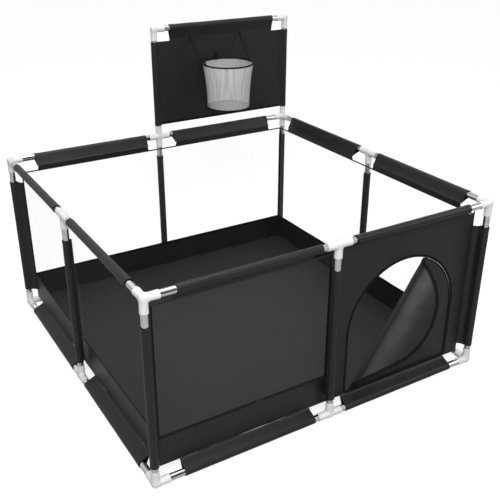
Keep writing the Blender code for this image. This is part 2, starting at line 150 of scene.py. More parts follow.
class PlaypenSizes(bpy.types.PropertyGroup):
    """Sizes of the sewn and repeated details."""

    skirt_height: FloatProperty(
        name="Skirt height",
        description="Black band at the foot of each net wall, above the bag's lower edge",
        default=0.105, min=0.02, max=0.3, unit="LENGTH")
    hem_height: FloatProperty(
        name="Hem height", description="Black band at the top of each net wall",
        default=0.020, min=0.005, max=0.05, unit="LENGTH")
    side_hem_width: FloatProperty(
        name="Side hem width", description="Black tape down the sides of each net wall",
        default=0.005, min=0.004, max=0.05, unit="LENGTH")
    mesh_pitch: FloatProperty(
        name="Mesh pitch", description="Distance between threads of the wall net as it is drawn",
        default=0.0060, min=0.001, max=0.02, unit="LENGTH")
    stitch_pitch: FloatProperty(
        name="Stitch pitch", description="Distance from one stitch to the next, as it is drawn",
        default=0.0052, min=0.002, max=0.02, unit="LENGTH")
    stitch_length: FloatProperty(
        name="Stitch length", description="Length of one stitch", default=0.0036, min=0.001, max=0.01,
        unit="LENGTH")
    tooth_pitch: FloatProperty(
        name="Zip tooth pitch", description="Distance between the zip's teeth", default=0.0030,
        min=0.001, max=0.01, unit="LENGTH")
    tape_width: FloatProperty(
        name="Zip tape width", description="Width of one half of the zip's tape", default=0.011,
        min=0.004, max=0.03, unit="LENGTH")
    wrinkle: FloatProperty(
        name="Wrinkle", description="How far the cloth's wrinkles stand out", default=0.0007,
        min=0.0, max=0.004, unit="LENGTH")
    tube_sides: IntProperty(
        name="Tube sides", description="Faces round each tube", default=40, min=12, max=96)
    seed: IntProperty(name="Seed", description="Start of every random draw", default=7, min=0)


class PlaypenColours(bpy.types.PropertyGroup):
    """Colours as they look, in sRGB."""

    plastic: FloatVectorProperty(
        name="Connector plastic", description="White polypropylene", subtype="COLOR_GAMMA", size=3,
        min=0, max=1, default=(0.895, 0.90, 0.905))
    cloth: FloatVectorProperty(
        name="Oxford cloth", description="Black polyester of the sleeves, skirts, door and board",
        subtype="COLOR_GAMMA", size=3, min=0, max=1, default=(0.100, 0.100, 0.096))
    floor_cloth: FloatVectorProperty(
        name="Floor cloth", description="Coated polyester of the floor", subtype="COLOR_GAMMA", size=3,
        min=0, max=1, default=(0.098, 0.098, 0.092))
    net: FloatVectorProperty(
        name="Wall net", description="Fine polyester net of the walls", subtype="COLOR_GAMMA", size=3,
        min=0, max=1, default=(0.50, 0.51, 0.50))
    basket_net: FloatVectorProperty(
        name="Basket net", description="Net of the ball basket", subtype="COLOR_GAMMA", size=3,
        min=0, max=1, default=(0.93, 0.93, 0.92))


def sizes():
    return bpy.context.scene.playpen_sizes


def colours():
    return bpy.context.scene.playpen_colours


# --- materials ---

def linear(colour):
    """An sRGB hex string, or three sRGB values from 0 to 1, as a linear colour."""
    if isinstance(colour, str):
        colour = [int(colour[i:i + 2], 16) / 255 for i in (1, 3, 5)]
    low = [c / 12.92 if c <= 0.04045 else ((c + 0.055) / 1.055) ** 2.4 for c in colour]
    return (*low, 1.0)


def add(tree, kind, inputs=None, **settings):
    """Adds a node. inputs are values, or sockets to link from, by input name or number."""
    made = tree.nodes.new(kind)
    for key, value in settings.items():
        setattr(made, key, value)
    for key, value in (inputs or {}).items():
        if isinstance(value, bpy.types.NodeSocket):
            tree.links.new(value, made.inputs[key])
        else:
            made.inputs[key].default_value = value
    return made


def principled(name, **uniform):
    """An empty material with one Principled shader and its uniform values set on its own sockets."""
    material = bpy.data.materials.new(name)
    material.use_nodes = True
    tree = material.node_tree
    shader = tree.nodes["Principled BSDF"]
    for key, value in uniform.items():
        shader.inputs[key.replace("_", " ")].default_value = value
    return material, tree, shader


def shade_between(tree, factor, first, second):
    """A colour from first to second as factor goes from 0 to 1."""
    mixed = add(tree, "ShaderNodeMix", {0: factor, 6: first, 7: second}, data_type="RGBA")
    return mixed.outputs[2]


def math_node(tree, operation, first, second=0.0, third=0.0):
    return add(tree, "ShaderNodeMath", {0: first, 1: second, 2: third}, operation=operation).outputs[0]


def darker(colour, share):
    return (*[c * share for c in colour[:3]], 1.0)


def moulded_polypropylene():
    """White polypropylene, injection moulded: glossy and faintly waxy, with a fine flow texture."""
    material, tree, shader = principled("moulded_polypropylene", Roughness=0.28, IOR=1.49)
    place = add(tree, "ShaderNodeTexCoord").outputs["Object"]
    flow = add(tree, "ShaderNodeTexNoise", {"Vector": place, "Scale": 60.0, "Detail": 3.0})
    white = linear(colours().plastic)
    colour = shade_between(tree, flow.outputs["Fac"], darker(white, 0.93), white)
    tree.links.new(colour, shader.inputs["Base Color"])
    grain = add(tree, "ShaderNodeTexNoise", {"Vector": place, "Scale": 900.0, "Detail": 2.0})
    fine = math_node(tree, "MULTIPLY", grain.outputs["Fac"], 0.15)
    height = math_node(tree, "ADD", fine, flow.outputs["Fac"])
    bump = add(tree, "ShaderNodeBump", {"Strength": 0.25, "Distance": 0.0004, "Height": height})
    tree.links.new(bump.outputs[0], shader.inputs["Normal"])
    return material


def chromed_steel():
    """Chrome plate on drawn steel tube: a bright mirror with a faint, cloudy rub."""
    material, tree, shader = principled("chromed_steel", Metallic=1.0)
    place = add(tree, "ShaderNodeTexCoord").outputs["Object"]
    rub = add(tree, "ShaderNodeTexNoise", {"Vector": place, "Scale": 45.0, "Detail": 5.0, "Roughness": 0.7})
    shine = math_node(tree, "MULTIPLY_ADD", rub.outputs["Fac"], 0.12, 0.05)
    tree.links.new(shine, shader.inputs["Roughness"])
    colour = shade_between(tree, rub.outputs["Fac"], linear("#DADBDD"), linear("#F4F5F6"))
    tree.links.new(colour, shader.inputs["Base Color"])
    bump = add(tree, "ShaderNodeBump", {"Strength": 0.08, "Distance": 0.0002, "Height": rub.outputs["Fac"]})
    tree.links.new(bump.outputs[0], shader.inputs["Normal"])
    return material


def oxford_cloth(name, colour, thread_mm, roughness, sheen):
    """Black polyester oxford: a close basket weave with a dull coated gloss and slightly uneven dye.

    The threads are drawn at thread_mm, about twice their real 0.6 mm, so that they show.
    """
    material, tree, shader = principled(name, Sheen_Weight=sheen, Sheen_Roughness=0.45, IOR=1.5,
                                        Specular_IOR_Level=0.40)
    flat = add(tree, "ShaderNodeUVMap", uv_map="cloth").outputs[0]
    per_metre = 1000.0 / thread_mm
    parts = add(tree, "ShaderNodeSeparateXYZ", {0: flat})
    turns = math.pi * per_metre
    warp = math_node(tree, "SINE", math_node(tree, "MULTIPLY", parts.outputs[0], turns))
    weft = math_node(tree, "SINE", math_node(tree, "MULTIPLY", parts.outputs[1], turns))
    weave = math_node(tree, "MULTIPLY", warp, weft)
    place = add(tree, "ShaderNodeTexCoord").outputs["Object"]
    cloud = add(tree, "ShaderNodeTexNoise", {"Vector": place, "Scale": 9.0, "Detail": 4.0, "Roughness": 0.6})
    slub = add(tree, "ShaderNodeTexNoise", {"Vector": place, "Scale": 420.0, "Detail": 2.0})
    base = linear(colour)
    tone = math_node(tree, "MULTIPLY_ADD", weave, 0.10, cloud.outputs["Fac"])
    tone = math_node(tree, "MULTIPLY_ADD", slub.outputs["Fac"], 0.25, tone)
    shade = shade_between(tree, tone, darker(base, 0.62), darker(base, 1.30))
    tree.links.new(shade, shader.inputs["Base Color"])
    rough = math_node(tree, "MULTIPLY_ADD", cloud.outputs["Fac"], 0.16, roughness - 0.08)
    tree.links.new(rough, shader.inputs["Roughness"])
    height = math_node(tree, "MULTIPLY_ADD", slub.outputs["Fac"], 0.6, weave)
    bump = add(tree, "ShaderNodeBump", {"Strength": 0.22, "Distance": 0.00025, "Height": height})
    tree.links.new(bump.outputs[0], shader.inputs["Normal"])
    return material


def ribbed_tape(name, colour, rib_mm):
    """Woven polyester tape: ribs across it and a slight sheen."""
    material, tree, shader = principled(name, Roughness=0.70, Sheen_Weight=0.04, Sheen_Roughness=0.4,
                                        Specular_IOR_Level=0.15)
    flat = add(tree, "ShaderNodeUVMap", uv_map="cloth").outputs[0]
    parts = add(tree, "ShaderNodeSeparateXYZ", {0: flat})
    rib = math_node(tree, "SINE", math_node(tree, "MULTIPLY", parts.outputs[1], 2000 * math.pi / rib_mm))
    base = linear(colour)
    tone = math_node(tree, "MULTIPLY_ADD", rib, 0.35, 0.5)
    shade = shade_between(tree, tone, darker(base, 0.6), darker(base, 1.25))
    tree.links.new(shade, shader.inputs["Base Color"])
    bump = add(tree, "ShaderNodeBump", {"Strength": 0.3, "Distance": 0.0003, "Height": rib})
    tree.links.new(bump.outputs[0], shader.inputs["Normal"])
    return material


def polyester_net(name, colour, pitch, thread_share, see_through, gap_turn=1.0):
    """Warp-knitted net: fine threads crossing on the slant, open between them.

    The real pitch is about 2 mm and too fine to show, so it's drawn at pitch. Threads have see_through as
    their opacity and knots are solid, as a hair-thin yarn drawn wider than it is lets light by.
    """
    material, tree, shader = principled(name, Roughness=0.6)
    flat = add(tree, "ShaderNodeUVMap", uv_map="cloth").outputs[0]
    parts = add(tree, "ShaderNodeSeparateXYZ", {0: flat})
    across, up = parts.outputs[0], math_node(tree, "MULTIPLY", parts.outputs[1], gap_turn)
    threads = []
    for operation in ("ADD", "SUBTRACT"):
        along = math_node(tree, operation, across, up)
        saw = math_node(tree, "FRACT", math_node(tree, "MULTIPLY", along, 1 / pitch))
        off = math_node(tree, "ABSOLUTE", math_node(tree, "SUBTRACT", saw, 0.5))
        threads.append(math_node(tree, "LESS_THAN", off, thread_share / 2))
    knot = math_node(tree, "MULTIPLY", threads[0], threads[1])
    either = math_node(tree, "MAXIMUM", threads[0], threads[1])
    thin = math_node(tree, "MULTIPLY", either, see_through)
    solid = math_node(tree, "MULTIPLY_ADD", knot, 1 - see_through, thin)
    tree.links.new(solid, shader.inputs["Alpha"])
    base = linear(colour)
    tree.links.new(shade_between(tree, knot, darker(base, 0.92), base), shader.inputs["Base Color"])
    return material


def nylon_zip():
    """Injection-moulded nylon zip teeth: near black and hard, with a dull gloss."""
    material, tree, shader = principled("nylon_zip", IOR=1.53, Specular_IOR_Level=0.2)
    place = add(tree, "ShaderNodeTexCoord").outputs["Object"]
    rub = add(tree, "ShaderNodeTexNoise", {"Vector": place, "Scale": 300.0, "Detail": 2.0})
    tree.links.new(shade_between(tree, rub.outputs["Fac"], linear("#0C0C0C"), linear("#1C1C1B")),
                   shader.inputs["Base Color"])
    tree.links.new(math_node(tree, "MULTIPLY_ADD", rub.outputs["Fac"], 0.2, 0.45), shader.inputs["Roughness"])
    return material


def sewing_thread():
    """Bonded polyester thread: a shade lighter than the cloth, twisted and slightly glossy."""
    material, tree, shader = principled("sewing_thread", Roughness=0.5, Sheen_Weight=0.3)
    place = add(tree, "ShaderNodeTexCoord").outputs["Object"]
    twist = add(tree, "ShaderNodeTexNoise", {"Vector": place, "Scale": 800.0, "Detail": 1.0})
    tree.links.new(shade_between(tree, twist.outputs["Fac"], linear("#1C1C1B"), linear("#3C3C3B")),
                   shader.inputs["Base Color"])
    return material


def painted_zinc():
    """Die-cast zinc slider under black paint, worn brighter on its edges."""
    material, tree, shader = principled("painted_zinc", Metallic=0.7)
    place = add(tree, "ShaderNodeTexCoord").outputs["Object"]
    wear = add(tree, "ShaderNodeTexNoise", {"Vector": place, "Scale": 260.0, "Detail": 4.0})
    edge = add(tree, "ShaderNodeNewGeometry").outputs["Pointiness"]
    worn = math_node(tree, "MULTIPLY", wear.outputs["Fac"], edge)
    colour = shade_between(tree, worn, linear("#131313"), linear("#6E6E70"))
    tree.links.new(colour, shader.inputs["Base Color"])
    rough = math_node(tree, "MULTIPLY_ADD", wear.outputs["Fac"], 0.25, 0.2)
    tree.links.new(rough, shader.inputs["Roughness"])
    return material


def coated_wire():
    """Steel wire dipped in black vinyl: smooth, half-glossy, with a slightly uneven skin."""
    material, tree, shader = principled("vinyl_coated_wire", IOR=1.53)
    place = add(tree, "ShaderNodeTexCoord").outputs["Object"]
    skin = add(tree, "ShaderNodeTexNoise", {"Vector": place, "Scale": 150.0, "Detail": 3.0})
    tree.links.new(shade_between(tree, skin.outputs["Fac"], linear("#101010"), linear("#262625")),
                   shader.inputs["Base Color"])
    rough = math_node(tree, "MULTIPLY_ADD", skin.outputs["Fac"], 0.2, 0.25)
    tree.links.new(rough, shader.inputs["Roughness"])
    bump = add(tree, "ShaderNodeBump", {"Strength": 0.2, "Distance": 0.0002, "Height": skin.outputs["Fac"]})
    tree.links.new(bump.outputs[0], shader.inputs["Normal"])
    return material


def studio_floor():
    """Matt pale studio paper, faintly uneven. It glows for the camera, as a light table does."""
    material, tree, shader = principled("studio_paper", Roughness=0.85, Emission_Color=(1, 1, 1, 1))
    path = add(tree, "ShaderNodeLightPath").outputs
    seen = math_node(tree, "MULTIPLY", path["Is Camera Ray"], 0.80)
    glow = math_node(tree, "MULTIPLY_ADD", path["Is Glossy Ray"], 0.13, seen)
    tree.links.new(glow, shader.inputs["Emission Strength"])
    place = add(tree, "ShaderNodeTexCoord").outputs["Object"]
    mottle = add(tree, "ShaderNodeTexNoise", {"Vector": place, "Scale": 3.0, "Detail": 2.0})
    tree.links.new(shade_between(tree, mottle.outputs["Fac"], linear("#888887"), linear("#8C8C8B")),
                   shader.inputs["Base Color"])
    return material


MATERIAL_MAKERS = {
    "plastic": moulded_polypropylene,
    "chrome": chromed_steel,
    "cloth": lambda: oxford_cloth("black_oxford_cloth", colours().cloth, 1.2, 0.39, 0.02),
    "floor": lambda: oxford_cloth("coated_floor_cloth", colours().floor_cloth, 1.6, 0.62, 0.03),
    "tape": lambda: ribbed_tape("woven_binding_tape", "#0E0E0E", 1.6),
    "webbing": lambda: ribbed_tape("black_webbing", "#090909", 1.2),
    "net": lambda: polyester_net("white_wall_net", colours().net, sizes().mesh_pitch, 0.12, 0.15),
    "basket_net": lambda: polyester_net("grey_basket_net", colours().basket_net, 0.0042, 0.40, 0.66, 0.8),
    "teeth": nylon_zip,
    "thread": sewing_thread,
    "zinc": painted_zinc,
    "wire": coated_wire,
}
MADE_MATERIALS = {}


def finish_of(kind):
    if kind not in MADE_MATERIALS:
        MADE_MATERIALS[kind] = MATERIAL_MAKERS[kind]()
    return MADE_MATERIALS[kind]


# --- meshes ---

def place_object(name, mesh, kind):
    obj = bpy.data.objects.new(name, mesh)
    bpy.context.scene.collection.objects.link(obj)
    if kind:
        mesh.materials.append(finish_of(kind))
    return obj


def mesh_of(name, points, faces):
    mesh = bpy.data.meshes.new(name)
    mesh.from_pydata([tuple(p) for p in points], [], faces)
    mesh.update()
    return mesh


def face_out(mesh):
    """Merges doubles and turns the faces of a closed mesh outwards."""
    work = bmesh.new()
    work.from_mesh(mesh)
    bmesh.ops.remove_doubles(work, verts=work.verts, dist=1e-7)
    bmesh.ops.recalc_face_normals(work, faces=work.faces)
    work.to_mesh(mesh)
    work.free()
    return mesh


def smooth(obj, angle_deg=38.0):
    obj.data.shade_smooth()
    obj.data.set_sharp_from_angle(angle=math.radians(angle_deg))
    return obj


def applied(obj):
    """Puts the object's modifiers into its mesh."""
    graph = bpy.context.evaluated_depsgraph_get()
    mesh = bpy.data.meshes.new_from_object(obj.evaluated_get(graph), depsgraph=graph)
    obj.modifiers.clear()
    obj.data = mesh
    return obj


def joined(name, objects):
    """One object from several, with their materials kept."""
    with bpy.context.temp_override(active_object=objects[0], selected_editable_objects=objects):
        bpy.ops.object.join()
    objects[0].name = name
    objects[0].data.name = name
    return objects[0]


def cloth_grid(name, grid, flat, kind, thickness=0.0, closed=False):
    """A cloth from rows of points, with each point's place on the flat cut as its UV, in metres.

    A closed grid joins its last column to its first, and flat then has one more column than grid.
    """
    rows, columns = len(grid), len(grid[0])
    points = [p for row in grid for p in row]
    faces, spots = [], []
    for r in range(rows - 1):
        for c in range(columns if closed else columns - 1):
            after = (c + 1) % columns
            faces.append((r * columns + c, r * columns + after,
                          (r + 1) * columns + after, (r + 1) * columns + c))
            spots.append((flat[r][c], flat[r][c + 1], flat[r + 1][c + 1], flat[r + 1][c]))
    mesh = mesh_of(name, points, faces)
    layer = mesh.uv_layers.new(name="cloth")
    layer.data.foreach_set("uv", [value for face in spots for spot in face for value in spot])
    obj = place_object(name, mesh, kind)
    if thickness:
        wall = obj.modifiers.new("thickness", "SOLIDIFY")
        wall.thickness = thickness
        wall.offset = 0.0
        applied(obj)
    return smooth(obj, 60.0)


def evenly(start, end, count):
    return [start + (end - start) * k / count for k in range(count + 1)]


def steps(length, pitch):
    return max(1, round(length / pitch))


def ripple(place, scale, seed=0.0):
    """Smooth noise from about -1 to 1, the same on every run."""
    return noise.noise(Vector(place) / scale + Vector((seed, seed * 1.7, seed * 2.3)))


def declare(obj, body, replaces=()):
    """Hangs a finished piece under its body, if it has one, and hides the CAD nodes that it stands for."""
    if body:
        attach(obj, body)
    if replaces:
        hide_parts(*replaces)
    return obj


# --- frame: tubes and connectors ---

def lathe_points(profile, sides):
    """Rings of (distance, radius) about +Z."""
    return [[Vector((r * math.cos(2 * math.pi * s / sides), r * math.sin(2 * math.pi * s / sides), d))
             for s in range(sides)] for d, r in profile]


def closed_lathe(name, profile, sides):
    """A shell whose profile is a closed loop of (distance, radius)."""
    rings = lathe_points(profile, sides)
    count = len(rings)
    points = [p for ring in rings for p in ring]
    faces = []
    for k in range(count):
        there = (k + 1) % count
        for s in range(sides):
            after = (s + 1) % sides
            faces.append((k * sides + s, k * sides + after, there * sides + after, there * sides + s))
    return face_out(mesh_of(name, points, faces))


def tube_mesh(name, length):
    """A drawn tube, open at both ends, which are swaged in a little and rounded off."""
    r, wall, swage = TUBE_R, 0.001, 0.0004
    outer = [(0.0, r - 2 * swage), (0.0006, r - swage), (0.004, r - swage), (0.007, r)]
    middle_rings = [(d, r) for d in evenly(0.02, length - 0.02, 8)]
    outer += middle_rings + [(length - d, q) for d, q in reversed(outer)]
    inner = [(length, r - wall - swage), (length / 2, r - wall - swage), (0.0, r - wall - swage)]
    return closed_lathe(name, outer + inner, sizes().tube_sides)


def turned_to(direction):
    return direction.to_track_quat("Z", "Y").to_matrix().to_4x4()


def build_tube(node, body):
    low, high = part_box(node)
    span = high - low
    axis = max(range(3), key=lambda i: span[i])
    direction = (X, Y, Z)[axis]
    start = (low + high) / 2 - direction * span[axis] / 2
    mesh = tube_mesh(node, span[axis])
    mesh.transform(Matrix.Translation(start) @ turned_to(direction))
    obj = smooth(place_object("tube_" + node, mesh, "chrome"))
    return declare(obj, body, replaces=[node])


CAGE_SHRINK = 0.9024    # how far a ring of eight cage points is drawn in by subdivision


def connector_mesh(name, arms):
    """A moulded fitting: a rounded hub grown out into one collared socket for each arm."""
    hub = ARM_R * 1.04
    work = bmesh.new()
    bmesh.ops.create_cube(work, size=2.0)
    bmesh.ops.subdivide_edges(work, edges=work.edges[:], cuts=1, use_grid_fill=True)
    for vertex in work.verts:
        out = sum(abs(round(c)) for c in vertex.co)
        reach = {1: 1.12, 2: 0.98, 3: 0.80}[out]
        vertex.co = Vector([round(c) for c in vertex.co]) * hub * reach
    core = work.verts[:]
    for arm in arms:
        along = DIRECTIONS[arm]
        around = [v for v in core if v.is_valid and v.co.dot(along) > hub * 0.5]
        cap = [f for f in work.faces if all(v in around for v in f.verts)]
        centre = next(v for v in around if (v.co - along * v.co.dot(along)).length < 1e-6)
        bmesh.ops.delete(work, geom=cap, context="FACES_ONLY")
        ring = [v for v in around if v is not centre]
        work.verts.remove(centre)
        side = Vector((along.y, along.z, along.x))
        over = along.cross(side)
        ring.sort(key=lambda v: math.atan2(v.co.dot(over), v.co.dot(side)))
        turn = [math.atan2(v.co.dot(over), v.co.dot(side)) for v in ring]
        collar = ARM_R + 0.0005
        bore = TUBE_R + 0.0003
        stations = [(0.0185, ARM_R), (0.030, ARM_R), (0.0345, ARM_R), (0.0352, collar),
                    (0.0358, collar), (ARM_LENGTH - 0.0008, collar), (ARM_LENGTH - 0.0001, collar - 0.0002),
                    (ARM_LENGTH, collar - 0.0009), (ARM_LENGTH, bore + 0.0002), (ARM_LENGTH - 0.0004, bore),
                    (ARM_LENGTH - 0.002, bore), (TUBE_END - 0.0004, bore), (TUBE_END - 0.001, bore),
                    (TUBE_END - 0.001, bore * 0.9)]
        last = ring
        for distance, radius in stations:
            cage = radius / CAGE_SHRINK
            fresh = [work.verts.new(along * distance + (side * math.cos(a) + over * math.sin(a)) * cage)
                     for a in turn]
            for k in range(8):
                n = (k + 1) % 8
                work.faces.new((last[k], last[n], fresh[n], fresh[k]))
            last = fresh
        bottom = work.verts.new(along * (TUBE_END - 0.001))
        for k in range(0, 8, 2):
            work.faces.new((last[k], last[k + 1], last[(k + 2) % 8], bottom))
        work.verts.ensure_lookup_table()
    bmesh.ops.recalc_face_normals(work, faces=work.faces)
    mesh = bpy.data.meshes.new(name)
    work.to_mesh(mesh)
    work.free()
    shape = place_object(name, mesh, None)
    rounding = shape.modifiers.new("rounding", "SUBSURF")
    rounding.levels = rounding.render_levels = 2
    applied(shape)
    mesh = shape.data
    bpy.data.objects.remove(shape)
    return mesh


def connector_arms(node):
    """The arms that a connector has, read from how far its box reaches from its centre."""
    x, y, z = connector_centre(node)
    low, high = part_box(node)
    reaches = {"+x": high.x - x, "-x": x - low.x, "+y": high.y - y, "-y": y - low.y,
               "+z": high.z - z, "-z": z - low.z}
    return tuple(arm for arm, reach in reaches.items() if reach > ARM_LENGTH * 0.8)


def connector_centre(node):
    middle_place = middle(node)
    if node.startswith("board_elbow"):
        return Vector((0 if node.endswith("left") else HALF_SPAN, HALF_SPAN, BOARD_TOP))
    grid = Vector([round(c / HALF_SPAN) * HALF_SPAN for c in middle_place])
    grid.z = LOW if node.startswith("lower") else HIGH
    return grid


def build_connector(node, body, shapes):
    arms = connector_arms(node)
    if arms not in shapes:
        shapes[arms] = connector_mesh("connector", arms)
    mesh = shapes[arms].copy()
    mesh.transform(Matrix.Translation(connector_centre(node)))
    obj = smooth(place_object("fitting_" + node, mesh, "plastic"), 60.0)
    return declare(obj, body, replaces=[node])


# --- sleeves ---

def sleeve_section(radius, reach, half_gap, fullness):
    """Half-open loop of (towards, side) from one layer at the seam, round the tube, to the other layer.

    The cloth leaves the tube on a tangent and meets its other layer at a stitched neck before the seam.
    """
    neck = min(reach - 0.004, radius * fullness)
    touch = math.acos(radius / neck)
    loop = [(a, half_gap) for a in evenly(reach, neck, 3)[:-1]]
    tangent = (radius * math.cos(touch), radius * math.sin(touch))
    for k in range(4):
        share = k / 4
        sag = 0.0006 * math.sin(math.pi * share)
        loop.append((neck + (tangent[0] - neck) * share,
                     half_gap * (1 - share) + tangent[1] * share - sag))
    arc = evenly(touch, 2 * math.pi - touch, 30)
    loop += [(radius * math.cos(a), radius * math.sin(a)) for a in arc]
    for k in range(3, -1, -1):
        share = k / 4
        sag = 0.0006 * math.sin(math.pi * share)
        loop.append((neck + (tangent[0] - neck) * share,
                     -half_gap * (1 - share) - tangent[1] * share + sag))
    loop += [(a, -half_gap) for a in evenly(neck, reach, 3)[1:]]
    return loop, neck


def build_sleeve(name, start, end, towards, reach, seed, fullness):
    """A cloth sleeve round a tube, sewn shut by its neck, with soft pulls near its hemmed ends."""
    along = (end - start).normalized()
    side = along.cross(towards)
    length = (end - start).length
    radius = TUBE_R + 0.0022
    loop, neck = sleeve_section(radius, reach, CLOTH * 0.45, fullness)
    runs = [0.0]
    for before, here in zip(loop, loop[1:]):
        runs.append(runs[-1] + math.dist(before, here))
    grid, flat = [], []
    for d in evenly(0.0, length, steps(length, 0.009)):
        from_end = min(d, length - d)
        hem = 0.0003 if from_end < 0.012 else 0.0
        pull = 0.35 + 0.9 * math.exp(-from_end / 0.05)
        row = []
        for (a, b), u in zip(loop, runs):
            round_share = 1.0 if a < neck * 0.8 else 0.15
            place = start + along * d + towards * a + side * b
            twist = ripple((d * 0.35, u, seed * 1.3), 0.016, seed)
            fine = ripple((d, u * 0.5, seed), 0.034, seed + 5)
            lift = sizes().wrinkle * pull * round_share * (0.6 * twist + 0.8 * fine) + hem * round_share
            out = towards * a + side * b
            row.append(place + out.normalized() * lift * (1 if a < neck * 0.8 else 0))
        grid.append(row)
        flat.append([(u, d) for u in runs])
    obj = cloth_grid(name, grid, flat, "cloth", CLOTH * 0.5)
    seam = [start + along * d + towards * (neck + 0.0022) for d in (0.003, length - 0.003)]
    return obj, (runs[-1], length), seam, side


def seam_lines(seam, side):
    """The row of stitches on each face of a sleeve's neck, as (points, outward direction)."""
    return [([p + side * turn * (CLOTH * 0.7 + 0.0002) for p in seam], side * turn) for turn in (-1, 1)]


def sleeve_plan():
    """(name, start, end, direction to the seam, distance to the seam) of each sleeve on the pen."""
    plan = []
    sides = {"front": (X, -Y), "back": (X, Y), "left": (Y, -X), "right": (Y, X)}
    reach = INSET * math.sqrt(2)
    foot, top = Z * (LOW + BARE_POST_FOOT), Z * (HIGH - BARE_POST_TOP)
    for wall, (along, outward) in sides.items():
        for z, lift, level in ((LOW, Z, "lower"), (HIGH, -Z, "upper")):
            for half, half_name in ((-1, "first"), (1, "second")):
                base = outward * HALF_SPAN + Z * z
                near = base + along * half * BARE_AT_TEE
                far = base + along * half * (HALF_SPAN - BARE_AT_CORNER)
                plan.append((f"sleeve_{level}_{wall}_{half_name}", near, far,
                             (lift - outward).normalized(), reach))
        at = outward * HALF_SPAN
        plan.append((f"sleeve_post_{wall}_middle", at + foot, at + top, -outward,
                     INSET if wall == "front" else TIGHT_REACH))
    for x in (-1, 1):
        for y in (-1, 1):
            at = Vector((x * HALF_SPAN, y * HALF_SPAN, 0))
            name = f"sleeve_post_{'near' if y < 0 else 'back'}_{'left' if x < 0 else 'right'}"
            plan.append((name, at + foot, at + top, Vector((-x, -y, 0)).normalized(), reach))
    return plan


# --- walls ---

def flat_panel(name, origin, across, up, width, height, kind, push=None, cell=0.03, thickness=0.0):
    """A rectangle of cloth on two directions. push(u, v) moves a point along their normal."""
    out = across.cross(up)
    us, vs = evenly(0.0, width, steps(width, cell)), evenly(0.0, height, steps(height, cell))
    grid = [[origin + across * u + up * v + out * (push(u, v) if push else 0.0) for u in us] for v in vs]
    flat = [[(u, v) for u in us] for v in vs]
    return cloth_grid(name, grid, flat, kind, thickness)


def wall_frames():
    """(name, lower left corner seen from outside, direction along it, its length) of each net wall."""
    middle_layer = FACE - CLOTH / 2
    return [
        ("wall_front", Vector((-FACE, -middle_layer, 0)), X, FACE - 0.0018),
        ("wall_right", Vector((middle_layer, -FACE + CLOTH, 0)), Y, 2 * (FACE - CLOTH)),
        ("wall_back", Vector((FACE, middle_layer, 0)), -X, 2 * FACE),
        ("wall_left", Vector((-middle_layer, FACE - CLOTH, 0)), -Y, 2 * (FACE - CLOTH)),
    ]


def build_hem(name, corner, across, length, foot):
    """The black band under the upper rail: full height along the sleeves, a narrow edge across the gaps."""
    narrow, turn = 0.005, 0.004

    def height(u):
        along = (corner + across * u).dot(Vector([abs(c) for c in across]))
        away = min(abs(along) - BARE_AT_TEE, HALF_SPAN - BARE_AT_CORNER - abs(along))
        share = min(1.0, max(0.0, away / turn))
        return narrow + (BAG_HIGH - foot - narrow) * share

    stops = sorted({round(u, 6) for u in evenly(0.0, length, steps(length, 0.012))}
                   | {round(u, 6) for u in gap_stops(corner, across, length, turn)})
    grid = [[corner + across * u + Z * (foot + height(u) * v) for u in stops] for v in (0.0, 0.5, 1.0)]
    flat = [[(u, height(u) * v) for u in stops] for v in (0.0, 0.5, 1.0)]
    return cloth_grid("hem_" + name, grid, flat, "cloth", CLOTH * 0.9)


def gap_stops(corner, across, length, turn):
    """Places along a wall where its sleeves start and end."""
    start = corner.dot(across)
    far = HALF_SPAN - BARE_AT_CORNER
    ends = [side * at for side in (-1, 1) for at in (BARE_AT_TEE, BARE_AT_TEE + turn, far, far - turn)]
    return [at - start for at in ends if 0 < at - start < length]


def build_wall(name, corner, across, length):
    """A net field with a black skirt below it, a hem above it and tape down its sides."""
    s = sizes()
    skirt_top, hem_foot = BAG_LOW + s.skirt_height, BAG_HIGH - s.hem_height
    seed = 3.0 + len(name) + corner.x
    field = 0.004

    def slack(u, v):
        fade = math.sin(math.pi * min(1.0, max(0.0, u / length)))
        fade *= math.sin(math.pi * v / (hem_foot - skirt_top))
        return max(0.0, fade) * 0.0016 * ripple((u, v, seed), 0.22, seed)

    def sway(u, v):
        fade = math.sin(math.pi * min(1.0, u / length))
        return fade * (0.0012 * ripple((u, v * 0.4, seed), 0.11, seed) + 0.0006 * ripple((u, v, seed), 0.04))

    net = flat_panel("net_" + name, corner + Z * (skirt_top - field), across, Z, length,
                     hem_foot - skirt_top + 2 * field, "net", slack, 0.02)
    skirt = flat_panel("skirt_" + name, corner + Z * BAG_LOW, across, Z, length, skirt_top - BAG_LOW,
                       "cloth", sway, 0.012, CLOTH * 0.6)
    hem = build_hem(name, corner, across, length, hem_foot)
    fold = flat_panel("fold", corner + Z * (skirt_top - 0.008), across, Z, length, 0.010,
                      "tape", sway, 0.005, CLOTH * 1.2)
    tapes = [fold]
    for u in (0.0, length - s.side_hem_width):
        tapes.append(flat_panel("tape", corner + across * u + Z * skirt_top, across, Z, s.side_hem_width,
                                hem_foot - skirt_top, "tape", None, 0.01, CLOTH * 0.9))
    tape = joined("binding_" + name, tapes)
    declare(net, "pen",
            replaces=[name])
    declare(skirt, "pen")
    declare(hem, "pen")
    declare(tape, "pen")
    out = across.cross(Z)
    lines = []
    rows = ((skirt_top - 0.006, 0.0012), (skirt_top, 0.0012), (hem_foot + 0.003, 0.0010),
            (BAG_LOW + 0.004, 0.0008))
    for z, off in rows:
        push = sway if z < hem_foot else (lambda u, v: 0.0)
        run = [corner + across * u + Z * z + out * (off + push(u, z - BAG_LOW))
               for u in evenly(0.004, length - 0.004, steps(length, 0.02))]
        lines.append((run, out))
    return lines


# --- floor ---

